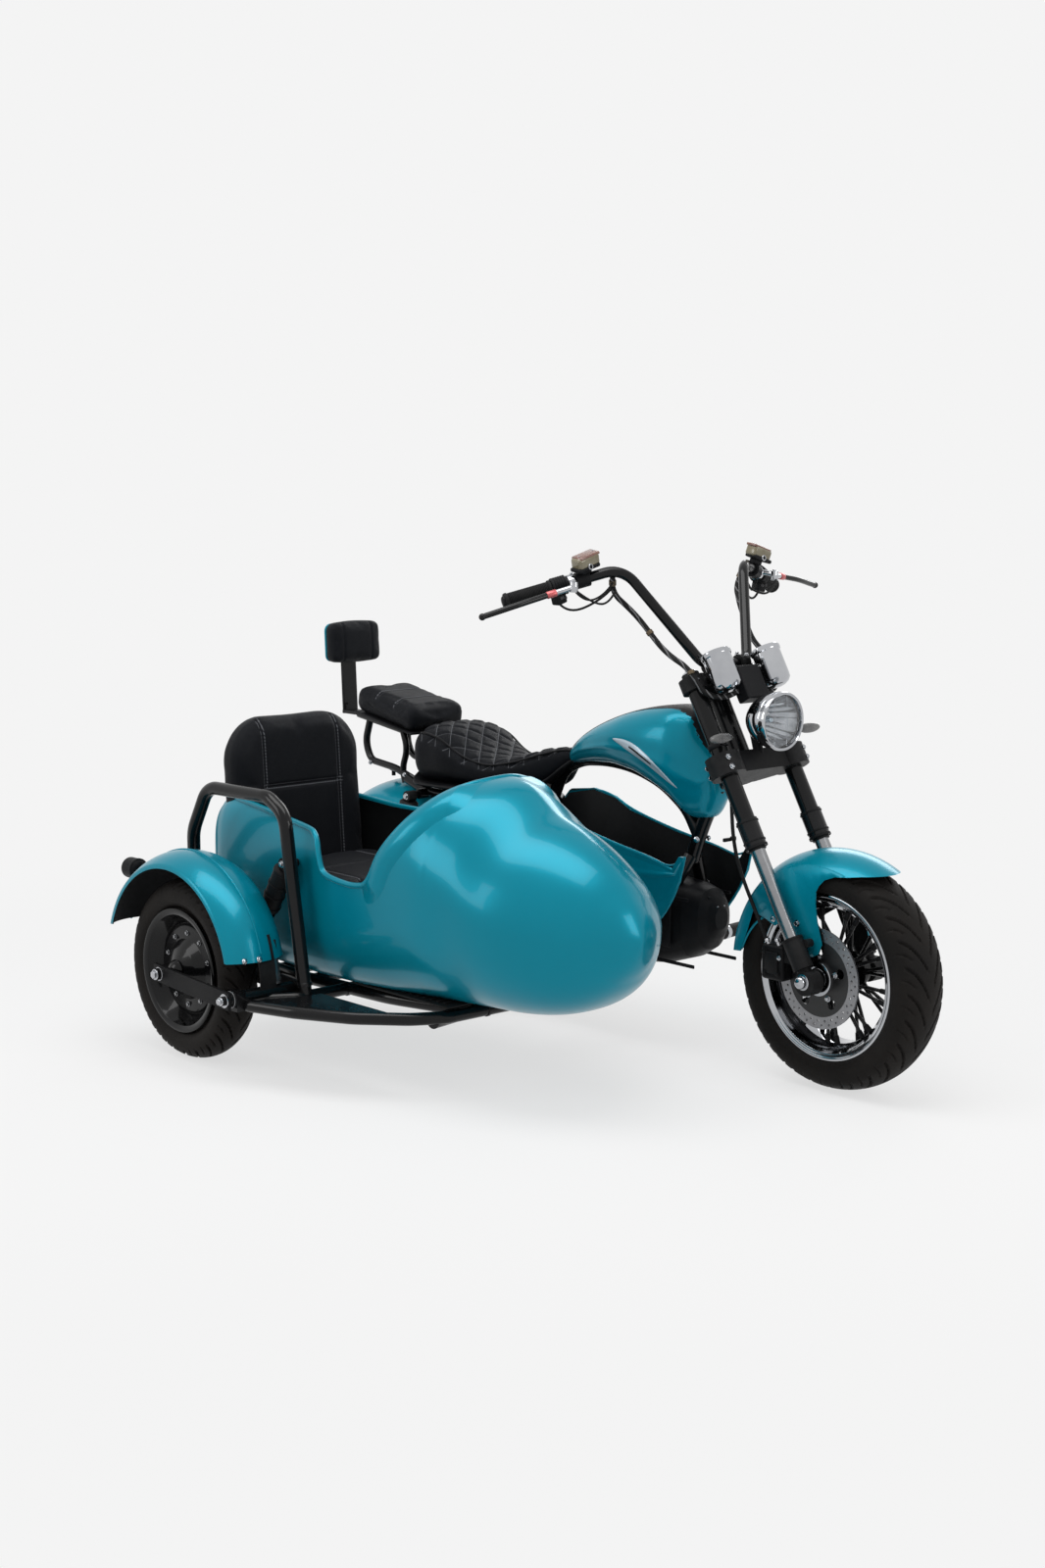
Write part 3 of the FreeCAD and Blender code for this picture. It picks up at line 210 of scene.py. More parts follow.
def uneven_group():
    """A value round the given one that drifts over the surface in broad and fine patches."""
    defaults = {"Vector": None, "Value": 0.5, "Spread": 0.1, "Scale": 8.0}
    tree, given, result = group("uneven", defaults, "Value", FLOAT)
    broad = noise(tree, given["Vector"], given["Scale"], 2.0)
    fine = noise(tree, given["Vector"], math_node(tree, "MULTIPLY", given["Scale"], 9.0), 4.0, 0.6)
    swing = math_node(tree, "SUBTRACT", math_node(tree, "ADD", broad, fine), 1.0)
    moved = math_node(tree, "MULTIPLY", swing, given["Spread"])
    tree.links.new(math_node(tree, "ADD", moved, given["Value"], True), result)
    return tree


def tint_group():
    """A colour that drifts between itself and a second one, and lightens on worn edges."""
    defaults = {"Vector": None, "Colour": GREY, "Second": GREY, "Scale": 5.0, "Edge": GREY, "Wear": 0.0}
    tree, given, result = group("tint", defaults, "Colour", COLOUR)
    # On chrome and the lamp reflector, this drift to a darker second colour is painted reflection.
    patch = ranged(tree, noise(tree, given["Vector"], given["Scale"], 5.0, 0.6), 0.35, 0.65)
    drifting = mixed(tree, patch, given["Colour"], given["Second"])
    edge = ranged(tree, added(tree, "NewGeometry", {})["Pointiness"], 0.53, 0.62)
    rubbed = math_node(tree, "MULTIPLY", edge, noise(tree, given["Vector"], 60.0, 4.0))
    worn = math_node(tree, "MULTIPLY", rubbed, given["Wear"], True)
    tree.links.new(mixed(tree, worn, drifting, given["Edge"]), result)
    return tree


def grain_group():
    """Height of a fine moulded grain: cells with soft walls and a little noise."""
    defaults = {"Vector": None, "Scale": 400.0, "Cells": 0.7}
    tree, given, result = group("grain", defaults, "Height", FLOAT)
    bend = math_node(tree, "MULTIPLY", noise(tree, given["Vector"], 120.0, 2.0), 0.02)
    inputs = {0: given["Vector"], "Scale": math_node(tree, "ADD", bend, 0.99)}
    warp = added(tree, "VectorMath", inputs, operation="SCALE")[0]
    cells = added(tree, "TexVoronoi", {"Vector": warp, "Scale": given["Scale"]}, feature="DISTANCE_TO_EDGE")
    walls = ranged(tree, cells["Distance"], 0.0, 0.22, kind="SMOOTHSTEP")
    fine = noise(tree, given["Vector"], math_node(tree, "MULTIPLY", given["Scale"], 2.2), 3.0)
    cell_part = math_node(tree, "MULTIPLY", walls, given["Cells"])
    fine_part = math_node(tree, "MULTIPLY", fine, math_node(tree, "SUBTRACT", 1.0, given["Cells"]))
    tree.links.new(math_node(tree, "ADD", cell_part, fine_part), result)
    return tree


GROUPS = {"uneven": uneven_group(), "tint": tint_group(), "grain": grain_group()}
THREAD = (0.10, 0.105, 0.115, 1)


class Finish:
    """A material with a Principled shader, Object coordinates and the shared groups."""

    def __init__(self, name, colour, roughness, metallic=0.0, specular=0.5):
        self.material = bpy.data.materials.new(name)
        self.material.use_nodes = True
        self.tree = self.material.node_tree
        self.shader = self.tree.nodes["Principled BSDF"]
        self.place = added(self.tree, "TexCoord", {})["Object"]
        self.colour = (*colour, 1)
        self.roughness = roughness
        self.base = None
        self.put({"Base Color": self.colour, "Roughness": roughness})
        self.put({"Metallic": metallic, "Specular IOR Level": specular})

    def put(self, inputs):
        fill_inputs(self.tree, self.shader, inputs)

    def use(self, group_name, inputs):
        return added(self.tree, "Group", {"Vector": self.place, **inputs}, node_tree=GROUPS[group_name])[0]

    def step(self, operation, first, second=None):
        return math_node(self.tree, operation, first, second)

    def tint(self, second, scale, edge=(0.5, 0.5, 0.5), wear=0.0):
        self.base = self.use("tint", {
            "Colour": self.colour, "Second": (*second, 1), "Scale": scale, "Edge": (*edge, 1), "Wear": wear,
        })
        self.put({"Base Color": self.base})

    def uneven(self, spread, scale):
        drift = {"Value": self.roughness, "Spread": spread, "Scale": scale}
        self.put({"Roughness": self.use("uneven", drift)})

    def coat(self, weight, roughness, ior):
        self.put({"Coat Weight": weight, "Coat Roughness": roughness, "Coat IOR": ior})

    def bump(self, height, distance, strength):
        inputs = {"Height": height, "Distance": distance, "Strength": strength}
        self.put({"Normal": added(self.tree, "Bump", inputs)[0]})

    def ripple(self, scale, detail, distance, strength):
        self.bump(noise(self.tree, self.place, scale, detail), distance, strength)

    def grain(self, scale, cells, distance, strength):
        self.bump(self.use("grain", {"Scale": scale, "Cells": cells}), distance, strength)

    def axes(self):
        return added(self.tree, "SeparateXYZ", {0: self.place})

    def thread(self, mask):
        """Mixes pale thread into the base colour where the mask is 1 and the surface is sewn."""
        sewn = added(self.tree, "Attribute", {}, attribute_name="sewn")["Fac"]
        shown = self.step("MULTIPLY", mask, self.step("GREATER_THAN", sewn, 0.12))
        self.put({"Base Color": mixed(self.tree, shown, self.base, THREAD)})

    def stitches(self, rows):
        """Stitches along straight rows: axis across, its place, stitches a metre, axes along the row."""
        split = self.axes()
        mask = 0.0
        for across, place, count, along in rows:
            away = self.step("ABSOLUTE", self.step("SUBTRACT", split[across], place))
            run = split[along[0]]
            for axis in along[1:]:
                run = self.step("ADD", run, split[axis])
            dash = self.step("LESS_THAN", self.step("FRACT", self.step("MULTIPLY", run, count)), 0.64)
            stitch = self.step("MULTIPLY", self.step("LESS_THAN", away, 0.0011), dash)
            mask = self.step("MAXIMUM", mask, stitch)
        self.thread(mask)

    def diamond_thread(self, pitch):
        """Thread along two sets of slanting lines, x + y and x - y, of one pitch."""
        split = self.axes()
        mask = 0.0
        for kind, start in (("ADD", mm(MIDDLE_X + MIDDLE_Y)), ("SUBTRACT", mm(MIDDLE_X - MIDDLE_Y))):
            shifted = self.step("ADD", self.step(kind, split["X"], split["Y"]), start + pitch / 2)
            phase = self.step("FRACT", self.step("DIVIDE", shifted, pitch))
            away = self.step("ABSOLUTE", self.step("SUBTRACT", phase, 0.5))
            mask = self.step("MAXIMUM", mask, self.step("LESS_THAN", away, 0.9 * mm(1) / pitch))
        self.thread(mask)


def steps(shader, tint=None, uneven=None, **others):
    return {"shader": shader, "tint": tint, "uneven": uneven, **others}


LEATHER = steps(
    ((0.0045, 0.0053, 0.0072), 0.46, 0.0, 0.07), ((0.0065, 0.0073, 0.0093), 11.0, (0.018, 0.018, 0.022), 0.2),
    (0.12, 18.0), grain=(620.0, 0.75, 0.0006, 0.5),
)

# For each finish: colour, roughness, metallic and specular level, then what its steps are called with
FINISHES = {
    "teal_paint": steps(
        ((0.0, 0.215, 0.30), 0.28, 0.3, 0.08), ((0.0, 0.204, 0.285), 2.0, (0.03, 0.33, 0.42), 0.08),
        (0.02, 2.0), coat=(0.35, 0.03, 1.32), ripple=(40.0, 1.0, 0.0003, 0.02),
    ),
    "black_paint": steps(
        ((0.0022, 0.0024, 0.0027), 0.26, 0.0, 0.10), ((0.004, 0.004, 0.0045), 6.0, (0.03, 0.03, 0.033), 0.3),
        (0.07, 10.0), coat=(0.38, 0.05, 1.42), ripple=(60.0, 1.0, 0.0003, 0.04),
    ),
    "black_cast": steps(
        ((0.0042, 0.0043, 0.005), 0.42, 0.0, 0.10), ((0.008, 0.008, 0.0085), 9.0, (0.05, 0.05, 0.05), 0.35),
        (0.12, 14.0), grain=(900.0, 0.35, 0.0003, 0.35),
    ),
    # Chrome's darker second colour, in broad patches, is painted reflection: it stands in for dark surroundings
    # mirrored in the chrome.
    "chrome": steps(((0.49, 0.50, 0.52), 0.07, 1.0), ((0.36, 0.37, 0.39), 5.0), (0.05, 9.0)),
    # The reflector's darker second colour, in patches, is painted reflection: dark and bright contrasts
    # mirrored in the cup.
    "reflector": steps(((0.50, 0.51, 0.53), 0.14, 1.0), ((0.30, 0.31, 0.33), 24.0), (0.05, 15.0)),
    "bright_steel": steps(
        ((0.27, 0.275, 0.285), 0.24, 1.0), ((0.22, 0.225, 0.235), 10.0, (0.5, 0.5, 0.5), 0.3), (0.12, 20.0),
        ripple=(700.0, 2.0, 0.0002, 0.06),
    ),
    "pale_metal": steps(
        ((0.42, 0.50, 0.56), 0.35, 0.4), ((0.36, 0.44, 0.50), 12.0, (0.6, 0.65, 0.7), 0.3), (0.08, 14.0),
    ),
    "brass": steps(
        ((0.10, 0.07, 0.04), 0.36, 0.7), ((0.03, 0.025, 0.02), 40.0, (0.35, 0.28, 0.18), 0.4), (0.12, 30.0),
    ),
    "tyre_rubber": steps(
        ((0.009, 0.0088, 0.0088), 0.60, 0.0, 0.14), ((0.014, 0.013, 0.012), 7.0, (0.03, 0.028, 0.026), 0.4),
        (0.14, 12.0), grain=(500.0, 0.3, 0.0005, 0.45),
    ),
    "tread_rubber": steps(
        ((0.0075, 0.0068, 0.0064), 0.60, 0.0, 0.09),
        ((0.012, 0.0104, 0.0092), 9.0, (0.035, 0.03, 0.026), 0.5), (0.14, 16.0),
        grain=(620.0, 0.2, 0.0004, 0.4),
    ),
    "black_leather": {**LEATHER, "sheen": True},
    "seat_leather": {**LEATHER, "sheen": True, "grain": (560.0, 0.75, 0.0006, 0.5)},
    "pillion_leather": {**LEATHER, "sheen": True},
    "quilted_leather": LEATHER,
    "black_plastic": steps(
        ((0.0045, 0.005, 0.006), 0.42, 0.0, 0.09), ((0.009, 0.009, 0.010), 8.0, (0.04, 0.04, 0.043), 0.35),
        (0.12, 12.0), grain=(800.0, 0.5, 0.0004, 0.4),
    ),
    "button_grey": steps(
        ((0.03, 0.03, 0.032), 0.45, 0.0, 0.2), ((0.06, 0.06, 0.062), 30.0, (0.15, 0.15, 0.15), 0.3),
        (0.08, 20.0),
    ),
    "dark_lining": steps(
        ((0.0045, 0.005, 0.0058), 0.7, 0.0, 0.1), ((0.008, 0.0085, 0.009), 10.0, (0.02, 0.02, 0.02), 0.2),
        (0.1, 12.0), grain=(380.0, 0.5, 0.0006, 0.5),
    ),
    "grip_rubber": steps(
        ((0.006, 0.006, 0.0066), 0.62, 0.0, 0.15), ((0.010, 0.010, 0.010), 15.0, (0.03, 0.03, 0.03), 0.35),
        (0.12, 20.0), grain=(700.0, 0.3, 0.0004, 0.5),
    ),
    "dial_face": steps(((0.008, 0.009, 0.012), 0.35, 0.0, 0.3), ((0.011, 0.012, 0.016), 25.0), (0.08, 20.0)),
    "lamp_glass": steps(((0.95, 0.97, 0.98), 0.02), ripple=(60.0, 2.0, 0.0003, 0.1)),
    "amber_plastic": steps(
        ((0.13, 0.105, 0.055), 0.18, 0.0, 0.3), ((0.20, 0.18, 0.12), 30.0), (0.08, 25.0),
        coat=(0.8, 0.05, 1.45),
    ),
    "disc_steel": steps(
        ((0.30, 0.30, 0.31), 0.34, 1.0), ((0.24, 0.24, 0.25), 30.0), (0.1, 25.0),
        grain=(900.0, 0.2, 0.0002, 0.2),
    ),
    "red_paint": steps(((0.42, 0.07, 0.08), 0.34, 0.6), ((0.50, 0.12, 0.12), 30.0), (0.08, 30.0)),
    "loom_wrap": steps(((0.006, 0.006, 0.0066), 0.6, 0.0, 0.15), ((0.010, 0.010, 0.010), 15.0), (0.1, 20.0)),
}
for lens, colour, second, dots in (
    ("smoked_lens", (0.030, 0.030, 0.032), (0.085, 0.083, 0.08), 260.0),
    ("brown_lid", (0.11, 0.028, 0.014), (0.16, 0.055, 0.025), 120.0),
    ("red_lens", (0.30, 0.012, 0.012), (0.36, 0.02, 0.02), 220.0),
):
    FINISHES[lens] = steps(
        (colour, 0.16, 0.0, 0.5), (second, 40.0), (0.05, 30.0), coat=(1.0, 0.04, 1.45),
        grain=(dots, 1.0, 0.0008, 0.6),
    )

DISC_RING_RADIUS = 80.5
DISC_CARRIER = (0.004, 0.004, 0.0045, 1)
WRAP_THREAD = (0.14, 0.14, 0.145, 1)
SIDECAR_SEAMS = [("Y", at(0, -505 + shift, 0).y, 150, "XZ") for shift in (-108, -100, 100, 108)]
SIDECAR_SEAMS += [("Z", 0.562, 150, "Y"), ("Z", 0.570, 150, "Y")]
PILLION_SEAMS = [("X", at(-1419.4 + shift, 0, 0).x, 150, "Y") for shift in (-39.5, -31.5, 31.5, 39.5)]


def disc_ring(finish):
    """Leaves the ground steel only beyond a radius from the front axle, round a black carrier."""
    split = finish.axes()
    x = finish.step("SUBTRACT", split["X"], mm(-MIDDLE_X))
    z = finish.step("SUBTRACT", split["Z"], 0.243)
    square = finish.step("ADD", finish.step("MULTIPLY", x, x), finish.step("MULTIPLY", z, z))
    ring = finish.step("GREATER_THAN", finish.step("SQRT", square), mm(DISC_RING_RADIUS))
    finish.put({"Base Color": mixed(finish.tree, ring, DISC_CARRIER, finish.base), "Metallic": ring})


def winding_thread(finish):
    """A pale thread that winds round the wrap."""
    inputs = {"Vector": finish.place, "Scale": 30.0, "Distortion": 3.0}
    waves = added(finish.tree, "TexWave", inputs, bands_direction="DIAGONAL")["Fac"]
    crest = finish.step("GREATER_THAN", waves, 0.88)
    finish.put({"Base Color": mixed(finish.tree, crest, finish.base, WRAP_THREAD)})
    finish.bump(waves, 0.0006, 0.5)


EXTRAS = {
    "seat_leather": lambda finish: finish.stitches(SIDECAR_SEAMS),
    "pillion_leather": lambda finish: finish.stitches(PILLION_SEAMS),
    "quilted_leather": lambda finish: finish.diamond_thread(mm(QUILT_PITCH)),
    "lamp_glass": lambda finish: finish.put({"Transmission Weight": 1.0, "IOR": 1.42}),
    "disc_steel": disc_ring,
    "loom_wrap": winding_thread,
}


def made_material(name, values):
    finish = Finish(name, *values["shader"])
    for step in ("tint", "uneven", "coat", "ripple", "grain"):
        if values.get(step):
            getattr(finish, step)(*values[step])
    if "sheen" in values:
        finish.put({"Sheen Weight": 0.02, "Sheen Roughness": 0.5})
    if name in EXTRAS:
        EXTRAS[name](finish)
    return finish.material


MATERIALS = {name: made_material(name, values) for name, values in FINISHES.items()}
MATERIALS["tyre"] = MATERIALS["tyre_rubber"]


# Shaping steps that many pieces share

def pick(piece):
    bpy.ops.object.select_all(action="DESELECT")
    piece.select_set(True)
    bpy.context.view_layer.objects.active = piece


def start_edit(piece):
    pick(piece)
    bpy.ops.object.mode_set(mode="EDIT")
    bpy.ops.mesh.select_mode(type="FACE")
    bpy.ops.mesh.select_all(action="SELECT")


def end_edit():
    bpy.ops.object.mode_set(mode="OBJECT")


def close_seams(piece, gap=0.00002):
    """Merges doubles, drops loose leftovers and turns all faces outwards."""
    start_edit(piece)
    bpy.ops.mesh.remove_doubles(threshold=gap)
    bpy.ops.mesh.dissolve_degenerate(threshold=gap)
    bpy.ops.mesh.delete_loose(use_verts=True, use_edges=True)
    bpy.ops.mesh.select_all(action="SELECT")
    bpy.ops.mesh.normals_make_consistent(inside=False)
    end_edit()


def finish_modifiers(piece):
    pick(piece)
    for modifier in list(piece.modifiers):
        bpy.ops.object.modifier_apply(modifier=modifier.name)


def smoother(piece):
    modifier = piece.modifiers.new("smooth", "SUBSURF")
    modifier.levels = 1
    modifier.render_levels = 1
    finish_modifiers(piece)


def rounded_edges(piece, width, segments=2, angle=35):
    modifier = piece.modifiers.new("edges", "BEVEL")
    modifier.width = mm(width)
    modifier.segments = segments
    modifier.limit_method = "ANGLE"
    modifier.angle_limit = math.radians(angle)
    finish_modifiers(piece)


def thickened(piece, wall, inner_finish=None):
    """Gives a sheet a wall on its inner side, with its own finish inside if one is named."""
    if inner_finish:
        piece.data.materials.append(MATERIALS["teal_paint"])
    modifier = piece.modifiers.new("wall", "SOLIDIFY")
    modifier.thickness = mm(wall)
    modifier.offset = -1
    if inner_finish:
        piece.data.materials.append(MATERIALS[inner_finish])
        modifier.material_offset = 1
    finish_modifiers(piece)


def dressed(piece, name, body, finish, angle=40, stands_for=None):
    """Settles a finished piece: its name, its place in its mesh, its finish, its body and its CAD node."""
    piece.name = name
    piece.data.name = name
    pick(piece)
    bpy.ops.object.transform_apply(location=True, rotation=True, scale=True)
    if not piece.data.materials:
        piece.data.materials.append(MATERIALS[finish])
    else:
        piece.data.materials[0] = MATERIALS[finish]
    bpy.ops.object.shade_smooth_by_angle(angle=math.radians(angle))
    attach(piece, body)
    if stands_for:
        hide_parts(stands_for)
    return piece


def dressed_all(body, rows, angle=40):
    """Joins the pieces of each row and dresses them as one: its name, its pieces and its finish."""
    for name, pieces, finish in rows:
        dressed(joined(pieces), name, body, finish, angle)


def joined(pieces):
    bpy.ops.object.select_all(action="DESELECT")
    for piece in pieces:
        piece.select_set(True)
    bpy.context.view_layer.objects.active = pieces[0]
    bpy.ops.object.join()
    return bpy.context.object


def copied(piece):
    pick(piece)
    bpy.ops.object.duplicate(linked=False)
    return bpy.context.object


def turned_copies(piece, count, centre, axis="Y"):
    """The piece and its copies, evenly round an axis, as one object."""
    ring = [piece]
    for index in range(1, count):
        twin = copied(piece)
        turn = Matrix.Rotation(2 * math.pi * index / count, 4, axis)
        twin.data.transform(Matrix.Translation(centre) @ turn @ Matrix.Translation(-centre))
        ring.append(twin)
    return joined(ring)


def formed(across, along, place, merge=True):
    """A grid whose point (u, v), each from 0 to 1, is put where place(u, v) says, in millimetres."""
    bpy.ops.mesh.primitive_grid_add(x_subdivisions=across, y_subdivisions=along, size=2, location=(0, 0, 0))
    piece = bpy.context.object
    for vertex in piece.data.vertices:
        u = (vertex.co.x + 1) / 2
        v = (vertex.co.y + 1) / 2
        vertex.co = at(*place(u, v))
    if merge:
        close_seams(piece)
    return piece


def turned(profile, centre, axis="Y", steps=64):
    """Spins a closed outline of (along, radius) points about an axis through centre."""
    direction = {"X": vec(1, 0, 0), "Y": vec(0, 1, 0)}[axis] if isinstance(axis, str) else axis
    side = vec(0, 0, 1) if abs(direction.z) < 0.9 else vec(1, 0, 0)
    side = (side - direction * side.dot(direction)).normalized()
    middle = at(*centre)
    bpy.ops.mesh.primitive_circle_add(vertices=len(profile), radius=1, fill_type="NOTHING", location=(0, 0, 0))
    piece = bpy.context.object
    for vertex, (along, radius) in zip(piece.data.vertices, profile):
        vertex.co = middle + direction * mm(along) + side * mm(max(radius, 0.0))
    pick(piece)
    bpy.ops.object.mode_set(mode="EDIT")
    bpy.ops.mesh.select_all(action="SELECT")
    bpy.ops.mesh.spin(steps=steps, angle=2 * math.pi, center=middle, axis=direction)
    end_edit()
    close_seams(piece)
    return piece


def rod(start, end, radius, end_radius=None, sides=16, edge=0.0):
    first = at(*start)
    last = at(*end)
    run = last - first
    bpy.ops.mesh.primitive_cone_add(
        vertices=sides, radius1=mm(radius), radius2=mm(radius if end_radius is None else end_radius),
        depth=run.length, location=(first + last) / 2, rotation=run.to_track_quat("Z", "Y").to_euler(),
    )
    piece = bpy.context.object
    bpy.ops.object.transform_apply(location=True, rotation=True, scale=True)
    if edge:
        rounded_edges(piece, edge)
    return piece


def slab(centre, size, edge, turn=(0, 0, 0), segments=2):
    bpy.ops.mesh.primitive_cube_add(
        size=1, location=at(*centre), rotation=[math.radians(angle) for angle in turn],
        scale=[mm(length) for length in size],
    )
    piece = bpy.context.object
    bpy.ops.object.transform_apply(location=True, rotation=True, scale=True)
    rounded_edges(piece, edge, segments)
    return piece


def strand(points, radius, cyclic=False, resolution=6, rings=3):
    """A smooth round cable along a NURBS line with the given control points."""
    curve = bpy.data.curves.new("strand", "CURVE")
    curve.dimensions = "3D"
    line = curve.splines.new("NURBS")
    line.points.add(len(points) - 1)
    for spot, point in zip(line.points, points):
        spot.co = (*at(*point), 1)
    line.order_u = 3
    line.use_endpoint_u = not cyclic
    line.use_cyclic_u = cyclic
    curve.resolution_u = resolution
    curve.bevel_depth = mm(radius)
    curve.bevel_resolution = rings
    curve.use_fill_caps = True
    piece = bpy.data.objects.new("strand", curve)
    bpy.context.collection.objects.link(piece)
    pick(piece)
    bpy.ops.object.convert(target="MESH")
    piece = bpy.context.object
    close_seams(piece)
    return piece


def seated(node, place, way):
    """The point where a line that runs against way meets a node from outside."""
    way = Vector(way).normalized()
    turn = nodes[node].matrix_world.inverted()
    start = turn @ (at(*place) + way * 0.15)
    hit, spot, _, _ = nodes[node].ray_cast(start, turn.to_3x3() @ -way)
    return from_frame(nodes[node].matrix_world @ spot) if hit else Vector(place)


def bolt(place, direction, radius, height=5.0):
    """A hexagon head on a washer."""
    way = Vector(direction).normalized()
    base = Vector(place)
    washer = rod(base, base + way * height * 0.3, radius * 1.35, sides=20, edge=0.4)
    head = rod(base + way * height * 0.3, base + way * height, radius, sides=6, edge=0.6)
    return joined([washer, head])


def between(stations, x):
    """The row of the stations at x, in smooth curves through them. The first number of each row is its x."""
    last = len(stations) - 1
    index = 0
    while index < last - 1 and x > stations[index + 1][0]:
        index += 1
    before = stations[max(index - 1, 0)]
    start = stations[index]
    end = stations[index + 1]
    after = stations[min(index + 2, last)]
    span = end[0] - start[0]
    t = min(max((x - start[0]) / span, 0.0), 1.0)
    row = []
    for k in range(1, len(start)):
        slope_in = slope(before[0], before[k], start[0], start[k], end[0], end[k]) * span
        slope_out = slope(start[0], start[k], end[0], end[k], after[0], after[k]) * span
        row.append(
            start[k] * (2 * t ** 3 - 3 * t ** 2 + 1) + slope_in * (t ** 3 - 2 * t ** 2 + t)
            + end[k] * (3 * t ** 2 - 2 * t ** 3) + slope_out * (t ** 3 - t ** 2)
        )
    return row


def slope(x0, y0, x1, y1, x2, y2):
    """A slope at the middle point that never makes the curve overshoot."""
    if x1 == x0:
        return (y2 - y1) / (x2 - x1)
    left = (y1 - y0) / (x1 - x0)
    if x2 == x1:
        return left
    right = (y2 - y1) / (x2 - x1)
    if left * right <= 0:
        return 0.0
    return 2 * left * right / (left + right)


def along_rows(rows, share):
    """The row at a share, from 0 to 1, of the way through the rows, on straight lines between them."""
    step = share * (len(rows) - 1)
    low = min(int(step), len(rows) - 2)
    part = step - low
    return [a * (1 - part) + b * part for a, b in zip(rows[low], rows[low + 1])]


def rounded_section(angle, middle, half, low, high, power_low, power_high):
    """(y, z) on a section with rounded corners, at an angle from its left side."""
    power = power_high if math.sin(angle) >= 0 else power_low
    across = math.copysign(abs(math.cos(angle)) ** (2 / power), math.cos(angle))
    up = math.copysign(abs(math.sin(angle)) ** (2 / power), math.sin(angle))
    return middle + half * across, (low + high) / 2 + (high - low) / 2 * up


# Places on the wheels, the fork and the bars, in millimetres

FRONT_AXLE = vec(0, 0, 243)
REAR_AXLE = vec(-1390, 0, 238)
SIDE_AXLE = vec(-1111, -866, 199)
RAKE = math.radians(29.8)
LEG_UP = vec(-math.sin(RAKE), 0, math.cos(RAKE))
LEG_FRONT = vec(math.cos(RAKE), 0, math.sin(RAKE))
LEG_SIDE = 100.0
BAR_BEND = vec(-468, 187, 1078)
BAR_END = vec(-585, 411, 1011)
GRIP_LENGTH = 98.0
LEVER_PERCH = GRIP_LENGTH + 45
SWITCH_MIDDLE = GRIP_LENGTH + 18
STEM_BACK = -45


def on_fork(front, side, along):
    return FRONT_AXLE + LEG_FRONT * front + vec(0, side, 0) + LEG_UP * along


def on_bar(distance, side):
    """A point on the grip's stretch of the bar, a distance inward from its end."""
    spot = BAR_END - (BAR_END - BAR_BEND).normalized() * distance
    return vec(spot.x, side * spot.y, spot.z)


def bar_way(side):
    way = (BAR_END - BAR_BEND).normalized()
    return vec(way.x, side * way.y, way.z)


# Sidecar body

HULL_MIDDLE = -505.0
HULL_BACK = -1308
HULL_NOSE = -80

# x, half width, bottom, top, then how square the lower, upper right and upper left corners are
HULL_STATIONS = [
    (-1308, 150, 262, 500, 4.0, 4.0, 4.0), (-1300, 176, 226, 530, 4.5, 4.5, 4.5),
    (-1272, 192, 200, 556, 5.0, 5.0, 5.0), (-1200, 202, 186, 570, 5.0, 5.0, 5.0),
    (-1080, 214, 180, 574, 4.6, 4.6, 4.6), (-940, 226, 178, 580, 4.4, 4.4, 4.4),
    (-800, 235, 178, 600, 4.0, 4.0, 4.0), (-680, 240, 178, 628, 3.4, 3.2, 3.0),
    (-580, 241, 179, 650, 2.9, 2.7, 2.4), (-500, 240, 181, 659, 2.7, 2.3, 1.8),
    (-435, 231, 181, 656, 2.5, 2.0, 1.42), (-390, 227, 182, 638, 2.4, 1.9, 1.38),
    (-350, 223, 183, 602, 2.35, 1.85, 1.42), (-290, 211, 189, 583, 2.3, 1.85, 1.45),
    (-230, 188, 202, 556, 2.3, 1.85, 1.45), (-175, 152, 227, 520, 2.3, 1.85, 1.5),
    (-135, 112, 258, 485, 2.3, 1.85, 1.6), (-95, 54, 308, 430, 2.2, 1.9, 1.7),
    (-80, 16, 348, 388, 2.0, 2.0, 2.0),
]
NEAR_RIM = [
    (-1400, 552), (-1217, 547), (-960, 530), (-862, 521), (-838, 506), (-824, 470), (-808, 440), (-780, 431),
    (-709, 426), (-664, 431), (-640, 450), (-614, 500), (-582, 545), (-548, 590), (-512, 634), (-476, 660),
    (-440, 720), (0, 900),
]
FAR_RIM = [
    (-1400, 520), (-1264, 515), (-1076, 500), (-760, 498), (-690, 506), (-630, 530), (-582, 560), (-548, 595),
    (-512, 634), (-476, 660), (-440, 720), (0, 900),
]


def spaced(start, end, count):
    return [start + (end - start) * index / count for index in range(count)]


def hull_row(x):
    """The section at x, evened out over a short stretch so that the body has no waves."""
    reach = min(36.0, max(x - HULL_BACK, 0.0), max(HULL_NOSE - x, 0.0))
    rows = [between(HULL_STATIONS, x + reach * share) for share in (-1, -0.5, 0, 0.5, 1)]
    return [(row[0] + 2 * row[1] + 2 * row[2] + 2 * row[3] + row[4]) / 8 for row in zip(*rows)]


def hull_power(row, angle):
    """How square the body's corner is at an angle from its left side."""
    turn = angle % (2 * math.pi)
    if turn >= math.pi:
        return row[3]
    return row[5] if turn <= math.pi / 2 else row[4]


def hull_point(x, angle, size=1.0):
    row = hull_row(x)
    half, low, high = row[:3]
    power = hull_power(row, angle)
    y, z = rounded_section(angle, HULL_MIDDLE, half, low, high, power, power)
    middle = (low + high) / 2
    return x, HULL_MIDDLE + (y - HULL_MIDDLE) * size, middle + (z - middle) * size


def rim_angle(x, side):
    """Where the rim cuts the section at x, on the near side (-1) or the far side (1)."""
    half, low, high, square, square_right, square_left = hull_row(x)
    height = between(NEAR_RIM if side < 0 else FAR_RIM, x)[0]
    rise = (height - (low + high) / 2) / ((high - low) / 2)
    rise = min(max(rise, -0.95), 1.0)
    power = square if rise < 0 else (square_right if side < 0 else square_left)
    angle = math.copysign(math.asin(abs(rise) ** (power / 2)), rise)
    return math.pi - angle if side < 0 else 2 * math.pi + angle


def rim_point(x, side):
    return hull_point(x, rim_angle(x, side))


